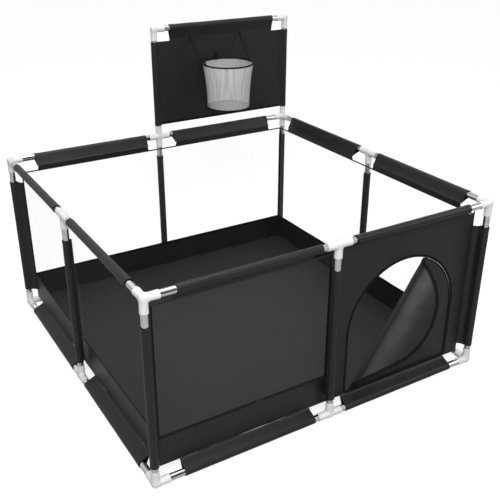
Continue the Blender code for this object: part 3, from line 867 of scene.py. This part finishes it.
def rise(distance):
    """Share of the floor's rise at a distance from the middle: none near it, then a soft slope."""
    return max(0.0, (abs(distance) - FLOOR_REST) / (FLOOR_EDGE - FLOOR_REST)) ** 1.3


def build_floor():
    """One sheet that lies on the ground in the middle and rises to the bag's lower edge."""
    seed = sizes().seed
    stops = evenly(-FLOOR_EDGE, FLOOR_EDGE, 96)
    grid = []
    for y in stops:
        row = []
        for x in stops:
            height = BAG_LOW * (1 - (1 - rise(x)) * (1 - rise(y)))
            fade = (1 - (x / FLOOR_EDGE) ** 4) * (1 - (y / FLOOR_EDGE) ** 4)
            crease = max(0.0, ripple((x, y, seed), 0.16, seed)) * 0.0030
            crease += max(0.0, ripple((x, y, seed), 0.05, seed + 2)) * 0.0010
            row.append(Vector((x, y, 0.0010 + height + crease * fade)))
        grid.append(row)
    flat = [[(x, y) for x in stops] for y in stops]
    obj = cloth_grid("floor_sheet", grid, flat, "floor", CLOTH * 0.9)
    return declare(obj, "pen",
                   replaces=["bag_floor"])


# --- door ---

def arch_path(grow, corner, pitch=0.008):
    """The arch as a closed path of (x, z, outward x, outward z), larger by grow, from mid sill."""
    radius, foot = ARCH_R + grow, SILL_Z - grow
    path = []

    def run(x0, z0, x1, z1, nx, nz):
        count = steps(math.hypot(x1 - x0, z1 - z0), pitch)
        path.extend((x0 + (x1 - x0) * k / count, z0 + (z1 - z0) * k / count, nx, nz) for k in range(count))

    def turn(x, z, r, first, last):
        count = max(5, steps(r * abs(last - first), pitch))
        for a in evenly(first, last, count)[:-1]:
            path.append((x + r * math.cos(a), z + r * math.sin(a), math.cos(a), math.sin(a)))

    run(ARCH_X, foot, ARCH_X + radius - corner, foot, 0, -1)
    turn(ARCH_X + radius - corner, foot + corner, corner, -math.pi / 2, 0)
    run(ARCH_X + radius, foot + corner, ARCH_X + radius, ARCH_Z, 1, 0)
    turn(ARCH_X, ARCH_Z, radius, 0, math.pi)
    run(ARCH_X - radius, ARCH_Z, ARCH_X - radius, foot + corner, -1, 0)
    turn(ARCH_X - radius + corner, foot + corner, corner, math.pi, 1.5 * math.pi)
    run(ARCH_X - radius + corner, foot, ARCH_X, foot, 0, -1)
    return path


def panel_place(x, z, off=0.0):
    """A point of the shut door's plane, off outwards."""
    return Vector((x, FOLD_FOOT.y - off, z))


def build_door_panel():
    """The black bay round the arch: rings of cloth from the bay's edges in to the opening."""
    left, right = -CLOTH, FACE
    x0, z0 = ARCH_X, 0.30
    path = arch_path(0.0, OPENING_CORNER)
    rim = []
    for x, z, *_ in path:
        dx, dz = x - x0, z - z0
        reach = min(((right if dx > 0 else left) - x0) / dx if abs(dx) > 1e-9 else 99.0,
                    ((BAG_HIGH if dz > 0 else BAG_LOW) - z0) / dz if abs(dz) > 1e-9 else 99.0)
        rim.append([x0 + dx * reach, z0 + dz * reach])
    cut = 0.014      # the top corner by the post is cut away a little
    for corner in ((left, BAG_LOW), (right, BAG_LOW), (right - cut, BAG_HIGH - cut), (left, BAG_HIGH)):
        min(rim, key=lambda p: math.dist(p, corner))[:] = corner
    grid, flat = [], []
    for share in evenly(0.0, 1.0, 14):
        row, spots = [], []
        for (x1, z1), (x2, z2, *_) in zip(rim, path):
            x, z = x1 + (x2 - x1) * share, z1 + (z2 - z1) * share
            fade = 4 * share * (1 - share)
            bulge = fade * (0.0022 * ripple((x, z, 4.0), 0.17, 3) + 0.0008 * ripple((x, z, 9.0), 0.05, 3))
            row.append(panel_place(x, z, bulge))
            spots.append((x, z))
        grid.append(row)
        flat.append(spots + spots[:1])
    obj = cloth_grid("door_bay", grid, flat, "cloth", CLOTH * 0.9, closed=True)
    return declare(obj, "pen",
                   replaces=["door_panel"])


def fold_coordinates(x, z):
    """(distance along the fold, distance past it towards the opening) of a point of the shut door."""
    away = Vector((x - FOLD_FOOT.x, 0, z - FOLD_FOOT.z))
    return away.dot(ALONG_FOLD), away.dot(ACROSS_FOLD)


def rolled(past):
    """The opened door's cross-section (real part across the fold, imaginary outwards) and its turn there.

    The cloth rolls over tightly, then keeps curling a little up to its free edge.
    """
    if past <= 0:
        return complex(past), 0.0
    tight = 2 * HALF_TURN - CURL
    turn = min(past, 2 * HALF_ROLL) / (2 * HALF_ROLL) * tight
    place = 2 * HALF_ROLL / tight * (cmath.exp(1j * turn) - 1) / 1j
    if past > 2 * HALF_ROLL:
        loose = FREE_LENGTH / (2 * CURL)
        bend = (past - 2 * HALF_ROLL) / loose
        place += loose * (cmath.exp(1j * (turn + bend)) - cmath.exp(1j * turn)) / 1j
        turn += bend
    return place, turn


def door_place(along, past, off=0.0):
    """A point of the opened door, off along the side that faces out when the door is shut."""
    place, turn = rolled(past)
    place += 1j * cmath.exp(1j * turn) * off
    return FOLD_FOOT + ALONG_FOLD * along + ACROSS_FOLD * place.real - Y * place.imag


DOOR_PARTS = (
    # name, first and last distance past the fold, the bodies it bends between, where the bend is, CAD node
    ("door_fixed_part", -1.0, HALF_ROLL, ("pen", "door_roll"), (0.0, HALF_ROLL), "door_roll"),
    ("door_free_part", HALF_ROLL, 1.0, ("door_roll", "door_flap"), (HALF_ROLL, 2 * HALF_ROLL), "door_flap"),
)


def bend_door(obj, bodies, bend):
    door_place(0.28, bend[0])
    door_place(0.28, bend[1])
    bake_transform(obj)


def build_door_cloth():
    """The door leaf: flat where it stays zipped, rolled over the fold and lying open past it."""
    path = [fold_coordinates(x, z) for x, z, *_ in arch_path(-FLAP_MARGIN, OPENING_CORNER - 0.003, 0.004)]
    least, most = min(b for _, b in path) + 0.0008, max(b for _, b in path) - 0.0008
    sides = list(zip(path, path[1:] + path[:1]))
    for name, first, last, bodies, bend, node in DOOR_PARTS:
        first, last = max(first, least), min(last, most)
        grid, flat = [], []
        for past in evenly(first, last, steps(last - first, 0.0042)):
            ends = [a0 + (a1 - a0) * (past - b0) / (b1 - b0)
                    for (a0, b0), (a1, b1) in sides if (b0 - past) * (b1 - past) < 0]
            row, spots = [], []
            for along in evenly(min(ends), max(ends), 44):
                inside = min(along - min(ends), max(ends) - along, most - past, past - least)
                fade = min(1.0, max(0.0, inside / 0.05))
                dent = fade * (0.0016 * ripple((along * 0.6, past, 2.0), 0.09, 5)
                               + 0.0006 * ripple((along, past, 6.0), 0.03, 5))
                row.append(door_place(along, past, dent))
                spots.append((along, past))
            grid.append(row)
            flat.append(spots)
        obj = cloth_grid(name, grid, flat, "cloth", CLOTH * 0.8)
        bend_door(obj, bodies, bend)
        declare(obj, None,
                replaces=[node])


def edge_strip(name, path, section, place, kind, loop):
    """A tape along a path, from (outwards, off) pairs that follow its width round the cloth's edge."""
    runs = [0.0]
    for (u0, o0), (u1, o1) in zip(section, section[1:]):
        runs.append(runs[-1] + math.dist((u0, o0), (u1, o1)))
    path = path + path[:1] if loop else path
    grid, flat, length = [], [], 0.0
    for k, (x, z, nx, nz) in enumerate(path):
        if k:
            length += math.dist((x, z), path[k - 1][:2])
        grid.append([place(x + nx * u, z + nz * u, off) for u, off in section])
        flat.append([(u, length) for u in runs])
    obj = cloth_grid(name, grid, flat, kind, 0.0009)
    return obj, (runs[-1], length)


def opened_place(x, z, off=0.0):
    return door_place(*fold_coordinates(x, z), off)


def door_runs(path):
    """The parts of a path round the door on each side of the middle of its roll, as {name: path}."""
    past = [fold_coordinates(x, z)[1] - HALF_ROLL for x, z, *_ in path]
    start = next(k for k in range(len(path)) if past[k - 1] > 0 >= past[k])
    turned = path[start:] + path[:start]
    past = past[start:] + past[:start]
    count = sum(b <= 0 for b in past)
    return {"door_fixed_part": turned[:count + 1], "door_free_part": turned[count:] + turned[:1]}


def build_zip():
    """Tape on both edges of the arch. Returns the lines of its teeth as {name: (points, outs)}."""
    width = sizes().tape_width
    wrap = [(0.0003, 0.0011), (-0.0001, 0.0), (0.0003, -0.0011)]
    still = [(0.0042, 0.0014), (0.0015, 0.0014)] + wrap + [(0.0015, -0.0013), (width, -0.0013)]
    wide = [(0.0080, 0.0014)] + still
    bay = arch_path(0.0, OPENING_CORNER, 0.006)
    tape, flat = edge_strip("zip_tape_bay", bay, wide, panel_place, "tape", True)
    declare(tape, "pen")
    moving = [(-u, off) for u, off in still]
    teeth = {}
    inner = arch_path(-FLAP_MARGIN, OPENING_CORNER - 0.003, 0.004)
    for name, _, _, bodies, bend, _ in DOOR_PARTS:
        run = door_runs(inner)[name]
        part, flat = edge_strip("zip_tape_" + name, run, moving, opened_place, "tape", False)
        bend_door(part, bodies, bend)
        declare(part, None)
        points = [opened_place(x + nx * 0.0008, z + nz * 0.0008) for x, z, nx, nz in run]
        outs = [(opened_place(x, z, 0.001) - opened_place(x, z, -0.001)).normalized() for x, z, *_ in run]
        teeth[name] = (points, outs)
    teeth["bay"] = ([panel_place(x - nx * 0.0010, z - nz * 0.0010) for x, z, nx, nz in bay + bay[:1]], -Y)
    return teeth


def rounded_block(name, low, high, edge, segments=3):
    """A cast block with rounded edges."""
    low, high = Vector(low), Vector(high)
    work = bmesh.new()
    bmesh.ops.create_cube(work, size=1.0)
    for vertex in work.verts:
        vertex.co = Vector([l + (h - l) * (c + 0.5) for l, h, c in zip(low, high, vertex.co)])
    bmesh.ops.bevel(work, geom=work.edges[:], offset=edge, segments=segments, profile=0.6, affect="EDGES")
    mesh = bpy.data.meshes.new(name)
    work.to_mesh(mesh)
    work.free()
    return mesh


def ring_mesh(name, centre, normal, radius, rod, around, section):
    """A closed wire ring with its axis along normal."""
    side = normal.orthogonal().normalized()
    over = normal.cross(side)
    points, faces = [], []
    for k in range(around):
        a = 2 * math.pi * k / around
        spoke = side * math.cos(a) + over * math.sin(a)
        for j in range(section):
            b = 2 * math.pi * j / section
            points.append(centre + spoke * (radius + rod * math.cos(b)) + normal * rod * math.sin(b))
            faces.append((k * section + j, k * section + (j + 1) % section,
                          (k + 1) % around * section + (j + 1) % section, (k + 1) % around * section + j))
    return face_out(mesh_of(name, points, faces))


def build_slider():
    """The zip's slider on the arch above the fold, with its pull hanging from the bail."""
    radial = Vector((math.cos(FOLD_TOP_ANGLE), 0, math.sin(FOLD_TOP_ANGLE)))
    around = Vector((-radial.z, 0, radial.x))
    centre = Vector((ARCH_X, -FACE - 0.0015, ARCH_Z)) + radial * ARCH_R
    turn = Matrix((around, -Y, radial)).transposed().to_4x4()
    parts = [rounded_block("plate", (-0.0072, 0.0008, -0.0042), (0.0072, 0.0020, 0.0042), 0.0005),
             rounded_block("nose", (-0.0030, 0.0012, -0.0022), (0.0066, 0.0032, 0.0022), 0.0008),
             rounded_block("bail", (-0.0022, 0.0024, -0.0008), (0.0032, 0.0045, 0.0008), 0.0006)]
    for mesh in parts:
        mesh.transform(Matrix.Translation(centre) @ turn)
    pull = rounded_block("pull", (-0.0023, -0.0006, -0.0230), (0.0023, 0.0006, -0.0040), 0.0005)
    eye = ring_mesh("eye", Vector((0, 0, -0.0022)), Y, 0.0024, 0.0006, 20, 8)
    knob = rounded_block("knob", (-0.0028, -0.0010, -0.0262), (0.0028, 0.0010, -0.0205), 0.0009)
    for mesh in (pull, eye, knob):
        mesh.transform(Matrix.Translation(centre - Y * 0.0040))
        parts.append(mesh)
    objects = [place_object(mesh.name, mesh, "zinc") for mesh in parts]
    slider = smooth(joined("slider_and_pull", objects))
    return declare(slider, "zip_slider", replaces=["zip_slider"])


# --- board and ball basket ---

def build_board():
    """A cloth panel with sleeves over the rail and both posts. Returns its lines of stitches."""
    left, right = BOARD_LOW_X, HALF_SPAN - BOARD_LOW_X
    foot = HIGH + ARM_LENGTH + BOARD_FOOT_GAP
    width, height = right - left, BOARD_PANEL_TOP - foot
    corner, binding = Vector((left, HALF_SPAN, foot)), 0.012

    def slack(u, v):
        fade = 4 * (u / width) * (1 - u / width)
        return fade * (0.0015 * ripple((u, v, 8.0), 0.15, 8) + 0.0006 * ripple((u, v, 2.0), 0.05, 8))

    panel = flat_panel("board_sheet", corner, X, Z, width, height, "cloth", slack, 0.012, CLOTH * 0.9)
    declare(panel, "board",
            replaces=["board_panel"])
    edge = flat_panel("binding_board_foot", corner, X, Z, width, binding, "tape", None, 0.006, CLOTH * 1.5)
    declare(edge, "board")
    lines = [([Vector((x, HALF_SPAN - 0.0013, foot + 0.010)) for x in (left + 0.003, right - 0.003)], -Y)]
    bare = BOARD_SLEEVE_BARE
    rail_ends = [Vector((x, HALF_SPAN, BOARD_TOP)) for x in (bare, HALF_SPAN - bare)]
    plan = [("rail", "rail", *rail_ends, -Z, BOARD_TOP - BOARD_PANEL_TOP, BOARD_FULLNESS)]
    for name, x, towards in (("left", 0.0, X), ("right", HALF_SPAN, -X)):
        post_ends = [Vector((x, HALF_SPAN, z)) for z in (foot, BOARD_PANEL_TOP)]
        plan.append((name, "post_" + name, *post_ends, towards, BOARD_LOW_X, POST_FULLNESS))
    for k, (name, tube, start, end, towards, reach, fullness) in enumerate(plan):
        name = "sleeve_board_" + name
        obj, flat, seam, side = build_sleeve(name, start, end, towards, reach, 21.0 + k, fullness)
        declare(obj, "board")
        lines += seam_lines(seam, side)
    return lines


def round_section(radius, sides):
    return [(radius * math.cos(b), radius * math.sin(b)) for b in evenly(0.0, 2 * math.pi, sides)]


def build_basket():
    """A wire ring with a tapering net that ends in a hemmed lower ring."""
    centre, foot_z = RING_CENTRE, RING_CENTRE.z - NET_HEIGHT
    ring = place_object("basket_hoop", ring_mesh("hoop", centre, Z, RING_R, RING_ROD_R, 96, 12), "wire")
    sleeve = rounded_block("weld", (-0.010, -0.0031, -0.0031), (0.010, 0.0031, 0.0031), 0.0024)
    at = Matrix.Translation(centre + Y * RING_R + X * 0.030 - Y * 0.0040)
    sleeve.transform(at @ Matrix.Rotation(-0.29, 4, "Z"))
    ring = smooth(joined("basket_hoop", [ring, place_object("weld", sleeve, "wire")]))
    declare(ring, "basket", replaces=["basket_ring"])
    columns, levels = 96, 30
    grid, flat = [], []
    for z in evenly(0.0, 1.0, levels):
        row = []
        for k in range(columns):
            a = 2 * math.pi * k / columns
            radius = RING_R + (NET_FOOT_R - RING_R) * z - 0.0035 * math.sin(math.pi * z)
            uneven = ripple((math.cos(a), math.sin(a), z), 0.8, 4)
            gather = 0.0012 * math.sin(12 * a + 0.6) * (0.3 + 0.7 * z) * uneven
            radius += gather + 0.0008 * ripple((a * 0.1, z * 0.2, 3.0), 0.05, 4)
            row.append(centre + Vector((radius * math.cos(a), radius * math.sin(a), -NET_HEIGHT * z)))
        grid.append(row)
        flat.append([(2 * math.pi * k / columns * 0.095, NET_HEIGHT * z) for k in range(columns + 1)])
    net = cloth_grid("basket_sheet", grid, flat, "basket_net", closed=True)
    declare(net, "basket",
            replaces=["basket_net"])
    bindings = (("basket_binding", RING_R, centre.z, round_section(RING_ROD_R + 0.0010, 12)),
                ("basket_foot_hem", NET_FOOT_R, foot_z, round_section(NET_HEM_R, 8)))
    for name, radius, z, section in bindings:
        rows, spots = [], []
        for k in range(97):
            a = 2 * math.pi * (k % 96) / 96
            spoke = Vector((math.cos(a), math.sin(a), 0))
            soft = 1 + 0.10 * math.sin(48 * a)
            hub = Vector((centre.x, centre.y, z))
            rows.append([hub + spoke * (radius + u * soft) + Z * v * soft for u, v in section])
            run = a * radius if k < 96 else 2 * math.pi * radius
            spots.append([(j * 0.0016, run) for j in range(len(section))])
        obj = cloth_grid(name, rows, spots, "webbing", 0.0)
        declare(obj, "basket")


def ribbon(name, path, across, width):
    """A flat tape that follows a path of points with its width along across."""
    grid, flat, length = [], [], 0.0
    for k, p in enumerate(path):
        if k:
            length += (p - path[k - 1]).length
        grid.append([p + across * width * share for share in (-0.5, -0.25, 0.0, 0.25, 0.5)])
        flat.append([(width * share, length) for share in (-0.5, -0.25, 0.0, 0.25, 0.5)])
    return cloth_grid(name, grid, flat, "webbing", 0.0011), (width, length)


def build_basket_ties():
    """The cloth loop at the back of the ring, and the two straps that hold its sides up."""
    front = BOARD_FRONT - 0.0009
    x, y, z = RING_CENTRE
    loop_r = RING_ROD_R + 0.0022
    path = [Vector((x, front, z + d)) for d in (0.024, 0.016, 0.008)]
    for a in evenly(math.radians(25), math.radians(-205), 18):
        path.append(Vector((x, RING_HINGE_Y + loop_r * math.cos(a), z + loop_r * math.sin(a))))
    path += [Vector((x, front - 0.0014, z + d)) for d in (0.010, 0.016, 0.023)]
    clip, flat = ribbon("hinge_loop", path, X, CLIP_WIDTH)
    declare(clip, "board", replaces=["basket_clip"])
    for side, node in ((-1, "strap_left"), (1, "strap_right")):
        top = Vector((x + side * STRAP_SPREAD, front - 0.0006, BOARD_PANEL_TOP + 0.006))
        hold = Vector((x + side * RING_R, y, z))
        turn_r, sag = 0.0042, 0.004
        path = [top + Z * 0.010 * (1 - share) for share in (0.0, 0.5)]
        path += [top + (hold + Z * turn_r - top) * t - Z * sag * math.sin(math.pi * t)
                 for t in evenly(0.0, 1.0, 14)]
        for a in evenly(math.radians(60), math.radians(-240), 12):
            path.append(hold + (Y * math.cos(a) + Z * math.sin(a)) * turn_r)
        path += [hold + (top - hold) * t + Z * (turn_r + 0.0010) - Z * sag * math.sin(math.pi * t)
                 for t in (0.05, 0.16)]
        strap, _ = ribbon("tie_" + node, path, X, STRAP_WIDTH)
        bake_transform(strap)
        declare(strap, None, replaces=[node])


# --- stitches and teeth ---

def repeat_tree():
    """Geometry Nodes: one small rounded shape after another along lines, each turned to face outwards."""
    tree = bpy.data.node_groups.new("Repeat along lines", "GeometryNodeTree")
    face = tree.interface
    face.new_socket(name="Lines", in_out="INPUT", socket_type="NodeSocketGeometry")
    for name in ("Pitch", "Along", "Across", "Height", "Unevenness"):
        face.new_socket(name=name, in_out="INPUT", socket_type="NodeSocketFloat")
    face.new_socket(name="Seed", in_out="INPUT", socket_type="NodeSocketInt")
    face.new_socket(name="Material", in_out="INPUT", socket_type="NodeSocketMaterial")
    face.new_socket(name="Pieces", in_out="OUTPUT", socket_type="NodeSocketGeometry")
    given = add(tree, "NodeGroupInput").outputs
    curve = add(tree, "GeometryNodeMeshToCurve", {0: given["Lines"]})
    points = add(tree, "GeometryNodeCurveToPoints", {"Curve": curve.outputs[0], "Length": given["Pitch"]},
                 mode="LENGTH")
    out = add(tree, "GeometryNodeInputNamedAttribute", {"Name": "out"}, data_type="FLOAT_VECTOR")
    turn = add(tree, "FunctionNodeAxesToRotation", {0: out.outputs[0], 1: points.outputs["Tangent"]},
               primary_axis="Z", secondary_axis="X")
    size = add(tree, "ShaderNodeCombineXYZ", {0: given["Along"], 1: given["Across"], 2: given["Height"]})
    least = add(tree, "ShaderNodeMath", {0: 1.0, 1: given["Unevenness"]}, operation="SUBTRACT")
    draw = add(tree, "FunctionNodeRandomValue", {2: least.outputs[0], 3: 1.0, "Seed": given["Seed"]},
               data_type="FLOAT")
    scale = add(tree, "ShaderNodeVectorMath", {0: size.outputs[0], "Scale": draw.outputs[1]},
                operation="SCALE")
    shape = add(tree, "GeometryNodeMeshUVSphere", {"Segments": 6, "Rings": 4, "Radius": 0.5})
    copies = add(tree, "GeometryNodeInstanceOnPoints", {
        "Points": points.outputs["Points"], "Instance": shape.outputs[0],
        "Rotation": turn.outputs[0], "Scale": scale.outputs[0]})
    solid = add(tree, "GeometryNodeRealizeInstances", {0: copies.outputs[0]})
    finished = add(tree, "GeometryNodeSetMaterial", {0: solid.outputs[0], "Material": given["Material"]})
    add(tree, "NodeGroupOutput", {0: finished.outputs[0]})
    return tree


def repeated(name, lines, kind, **values):
    """Bakes the repeat tree along (points, outward direction or directions) lines into one mesh."""
    points, edges, outs = [], [], []
    for run, out in lines:
        edges += [(len(points) + k, len(points) + k + 1) for k in range(len(run) - 1)]
        points += run
        outs += [out] * len(run) if isinstance(out, Vector) else out
    mesh = bpy.data.meshes.new(name)
    mesh.from_pydata([tuple(p) for p in points], edges, [])
    layer = mesh.attributes.new("out", "FLOAT_VECTOR", "POINT")
    layer.data.foreach_set("vector", [c for out in outs for c in out])
    obj = bpy.data.objects.new(name, mesh)
    bpy.context.scene.collection.objects.link(obj)
    tree = bpy.data.node_groups.get("Repeat along lines") or repeat_tree()
    modifier = obj.modifiers.new("repeat", "NODES")
    modifier.node_group = tree
    values = {"Seed": sizes().seed, "Material": finish_of(kind), **values}
    for item in tree.interface.items_tree:
        if item.in_out == "INPUT" and item.name in values:
            modifier[item.identifier] = values[item.name]
    applied(obj)
    return smooth(obj, 80.0)


# --- operators ---

class PLAYPEN_OT_connectors(bpy.types.Operator):
    """Moulded fittings at every corner and middle, and the board's two elbows"""

    bl_idname = "playpen.connectors"
    bl_label = "Connectors"

    def execute(self, context):
        shapes = {}
        for node in sorted(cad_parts):
            if node.startswith(("lower_corner", "lower_tee", "upper_corner", "upper_tee")):
                build_connector(node, "pen", shapes)
            elif node.startswith("board_elbow"):
                build_connector(node, "board", shapes)
        for mesh in shapes.values():
            bpy.data.meshes.remove(mesh)
        return {"FINISHED"}


class PLAYPEN_OT_tubes(bpy.types.Operator):
    """Chromed tubes of the pen and the board"""

    bl_idname = "playpen.tubes"
    bl_label = "Tubes"

    def execute(self, context):
        for node in sorted(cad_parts):
            if node.startswith(("lower_rail", "upper_rail", "post_")):
                build_tube(node, "pen")
            elif node.startswith(("board_rail", "board_post")):
                build_tube(node, "board")
        return {"FINISHED"}


STITCH_LINES = {"walls": [], "sleeves": [], "board": []}


class PLAYPEN_OT_sleeves(bpy.types.Operator):
    """Cloth sleeves that hold the bag to the pen's tubes"""

    bl_idname = "playpen.sleeves"
    bl_label = "Sleeves"

    def execute(self, context):
        for k, (name, start, end, towards, reach) in enumerate(sleeve_plan()):
            fullness = POST_FULLNESS if name.startswith("sleeve_post") else RAIL_FULLNESS
            obj, flat, seam, side = build_sleeve(name, start, end, towards, reach, 1.0 + k * 0.37, fullness)
            declare(obj, "pen")
            STITCH_LINES["sleeves"] += seam_lines(seam, side)
            if reach < INSET:
                width, foot = INSET - NET_STRIP_START, start + towards * NET_STRIP_START
                web = flat_panel("net_" + name, foot, towards, Z, width, flat[1], "net")
                declare(web, "pen")
        return {"FINISHED"}


class PLAYPEN_OT_walls(bpy.types.Operator):
    """Four net walls with their skirts, hems and bindings"""

    bl_idname = "playpen.walls"
    bl_label = "Walls"

    def execute(self, context):
        for name, corner, across, length in wall_frames():
            STITCH_LINES["walls"] += build_wall(name, corner, across, length)
        return {"FINISHED"}


class PLAYPEN_OT_floor(bpy.types.Operator):
    """The bag's floor sheet"""

    bl_idname = "playpen.floor"
    bl_label = "Floor"

    def execute(self, context):
        build_floor()
        return {"FINISHED"}


class PLAYPEN_OT_door(bpy.types.Operator):
    """The arched bay, the rolled-open door leaf, its zip and slider"""

    bl_idname = "playpen.door"
    bl_label = "Door"

    def execute(self, context):
        build_door_panel()
        build_door_cloth()
        pitch = sizes().tooth_pitch
        tooth = {"Pitch": pitch, "Along": pitch * 0.62, "Across": 0.0011, "Height": 0.0022,
                 "Unevenness": 0.05}
        bends = {name: (bodies, bend) for name, _, _, bodies, bend, _ in DOOR_PARTS}
        for name, line in build_zip().items():
            obj = repeated("zip_teeth_" + name, [line], "teeth", **tooth)
            if name in bends:
                bend_door(obj, *bends[name])
                declare(obj, None)
            else:
                declare(obj, "pen")
        build_slider()
        return {"FINISHED"}


class PLAYPEN_OT_board(bpy.types.Operator):
    """The cloth board above the back wall"""

    bl_idname = "playpen.board"
    bl_label = "Board"

    def execute(self, context):
        STITCH_LINES["board"] += build_board()
        return {"FINISHED"}


class PLAYPEN_OT_basket(bpy.types.Operator):
    """The ball basket, its hinge loop and straps"""

    bl_idname = "playpen.basket"
    bl_label = "Ball Basket"

    def execute(self, context):
        build_basket()
        build_basket_ties()
        return {"FINISHED"}


class PLAYPEN_OT_stitches(bpy.types.Operator):
    """Rows of stitches along the seams of the walls, sleeves and board"""

    bl_idname = "playpen.stitches"
    bl_label = "Stitches"

    def execute(self, context):
        s = sizes()
        for key, lines in STITCH_LINES.items():
            obj = repeated("stitches_" + key, lines, "thread", Pitch=s.stitch_pitch, Along=s.stitch_length,
                           Across=0.0010, Height=0.0007, Unevenness=0.18)
            declare(obj, "board" if key == "board" else "pen")
        return {"FINISHED"}


class PLAYPEN_OT_stage(bpy.types.Operator):
    """Pale floor, soft studio light and the camera"""

    bl_idname = "playpen.stage"
    bl_label = "Stage"

    def execute(self, context):
        scene = bpy.context.scene
        scene.view_settings.view_transform = "Standard"
        corners = [(x * 30, y * 30, -0.0005) for x, y in ((-1, -1), (1, -1), (1, 1), (-1, 1))]
        mesh = mesh_of("studio_floor", corners, [(0, 1, 2, 3)])
        mesh.materials.append(studio_floor())
        ground = bpy.data.objects.new("studio_floor", mesh)
        scene.collection.objects.link(ground)
        self.light_world(scene)
        self.add_light("key", Vector((-1.6, -3.2, 3.2)), 1.6, 128.0)
        self.add_light("fill", Vector((3.4, -2.4, 2.6)), 1.6, 20.0)
        self.add_light("top", Vector((0.2, 0.4, 4.2)), 2.2, 42.0)
        camera = bpy.data.cameras.new("camera")
        camera.lens, camera.sensor_width = CAMERA_LENS_MM, CAMERA_SENSOR_MM
        view = bpy.data.objects.new("camera", camera)
        scene.collection.objects.link(view)
        forward = CAMERA_FORWARD.normalized()
        right = (CAMERA_RIGHT - forward * CAMERA_RIGHT.dot(forward)).normalized()
        up = right.cross(forward)
        turn = Matrix((right, up, -forward)).transposed().to_4x4()
        view.matrix_world = Matrix.Translation(CAMERA_PLACE) @ turn
        scene.camera = view
        return {"FINISHED"}

    def light_world(self, scene):
        """Bright all round, with dark bands and two upright dark flags for the chrome to mirror."""
        world = bpy.data.worlds.new("studio")
        world.use_nodes = True
        tree = world.node_tree
        back = tree.nodes["Background"]
        ray = add(tree, "ShaderNodeTexCoord").outputs["Generated"]
        height = add(tree, "ShaderNodeSeparateXYZ", {0: ray}).outputs[2]
        ramp = add(tree, "ShaderNodeValToRGB", {0: height})
        tones = [(0.0, 0.9), (0.10, 1.0), (0.16, 0.05), (0.27, 0.04), (0.33, 0.9), (0.55, 1.0), (0.66, 0.06),
                 (0.80, 0.7)]
        while len(ramp.color_ramp.elements) < len(tones):
            ramp.color_ramp.elements.new(0.5)
        for element, (at, tone) in zip(ramp.color_ramp.elements, tones):
            element.position = at
            element.color = (tone, tone, tone, 1)
        x, y = (add(tree, "ShaderNodeSeparateXYZ", {0: ray}).outputs[k] for k in (0, 1))
        heading = math_node(tree, "ARCTAN2", y, x)
        flags = 0.0
        for at in (-2.95, -1.25):
            away = math_node(tree, "ABSOLUTE", math_node(tree, "SUBTRACT", heading, at))
            flags = math_node(tree, "ADD", math_node(tree, "LESS_THAN", away, 0.14), flags)
        banded = shade_between(tree, flags, ramp.outputs[0], (0.03, 0.03, 0.03, 1.0))
        seen = add(tree, "ShaderNodeLightPath").outputs["Is Camera Ray"]
        tree.links.new(shade_between(tree, seen, banded, (1.0, 1.0, 1.0, 1.0)), back.inputs["Color"])
        back.inputs["Strength"].default_value = 1.0
        scene.world = world

    def add_light(self, name, place, size, power):
        light = bpy.data.lights.new(name, "AREA")
        light.size, light.energy = size, power
        obj = bpy.data.objects.new(name, light)
        obj.location = place
        obj.rotation_euler = (Vector((0, 0, 0.3)) - place).to_track_quat("-Z", "Y").to_euler()
        bpy.context.scene.collection.objects.link(obj)


class PLAYPEN_PT_panel(bpy.types.Panel):
    """Sizes, colours and the pieces"""

    bl_idname = "PLAYPEN_PT_panel"
    bl_label = "Pet Playpen"
    bl_space_type = "VIEW_3D"
    bl_region_type = "UI"
    bl_category = "Playpen"

    def draw(self, context):
        for group in (context.scene.playpen_sizes, context.scene.playpen_colours):
            column = self.layout.column(align=True)
            for key in group.bl_rna.properties.keys():
                if key not in ("rna_type", "name"):
                    column.prop(group, key)
        for operator in OPERATORS:
            self.layout.operator(operator.bl_idname)


OPERATORS = (
    PLAYPEN_OT_connectors,
    PLAYPEN_OT_tubes,
    PLAYPEN_OT_walls,
    PLAYPEN_OT_sleeves,
    PLAYPEN_OT_floor,
    PLAYPEN_OT_door,
    PLAYPEN_OT_board,
    PLAYPEN_OT_basket,
    PLAYPEN_OT_stitches,
    PLAYPEN_OT_stage,
)
CLASSES = (PlaypenSizes, PlaypenColours, *OPERATORS, PLAYPEN_PT_panel)


def register():
    for cls in CLASSES:
        bpy.utils.register_class(cls)
    bpy.types.Scene.playpen_sizes = PointerProperty(type=PlaypenSizes)
    bpy.types.Scene.playpen_colours = PointerProperty(type=PlaypenColours)


def unregister():
    del bpy.types.Scene.playpen_colours
    del bpy.types.Scene.playpen_sizes
    for cls in reversed(CLASSES):
        bpy.utils.unregister_class(cls)


def main():
    register()
    for operator in OPERATORS:
        getattr(bpy.ops.playpen, operator.bl_idname.split(".")[1])()


if __name__ == "__main__":
    main()
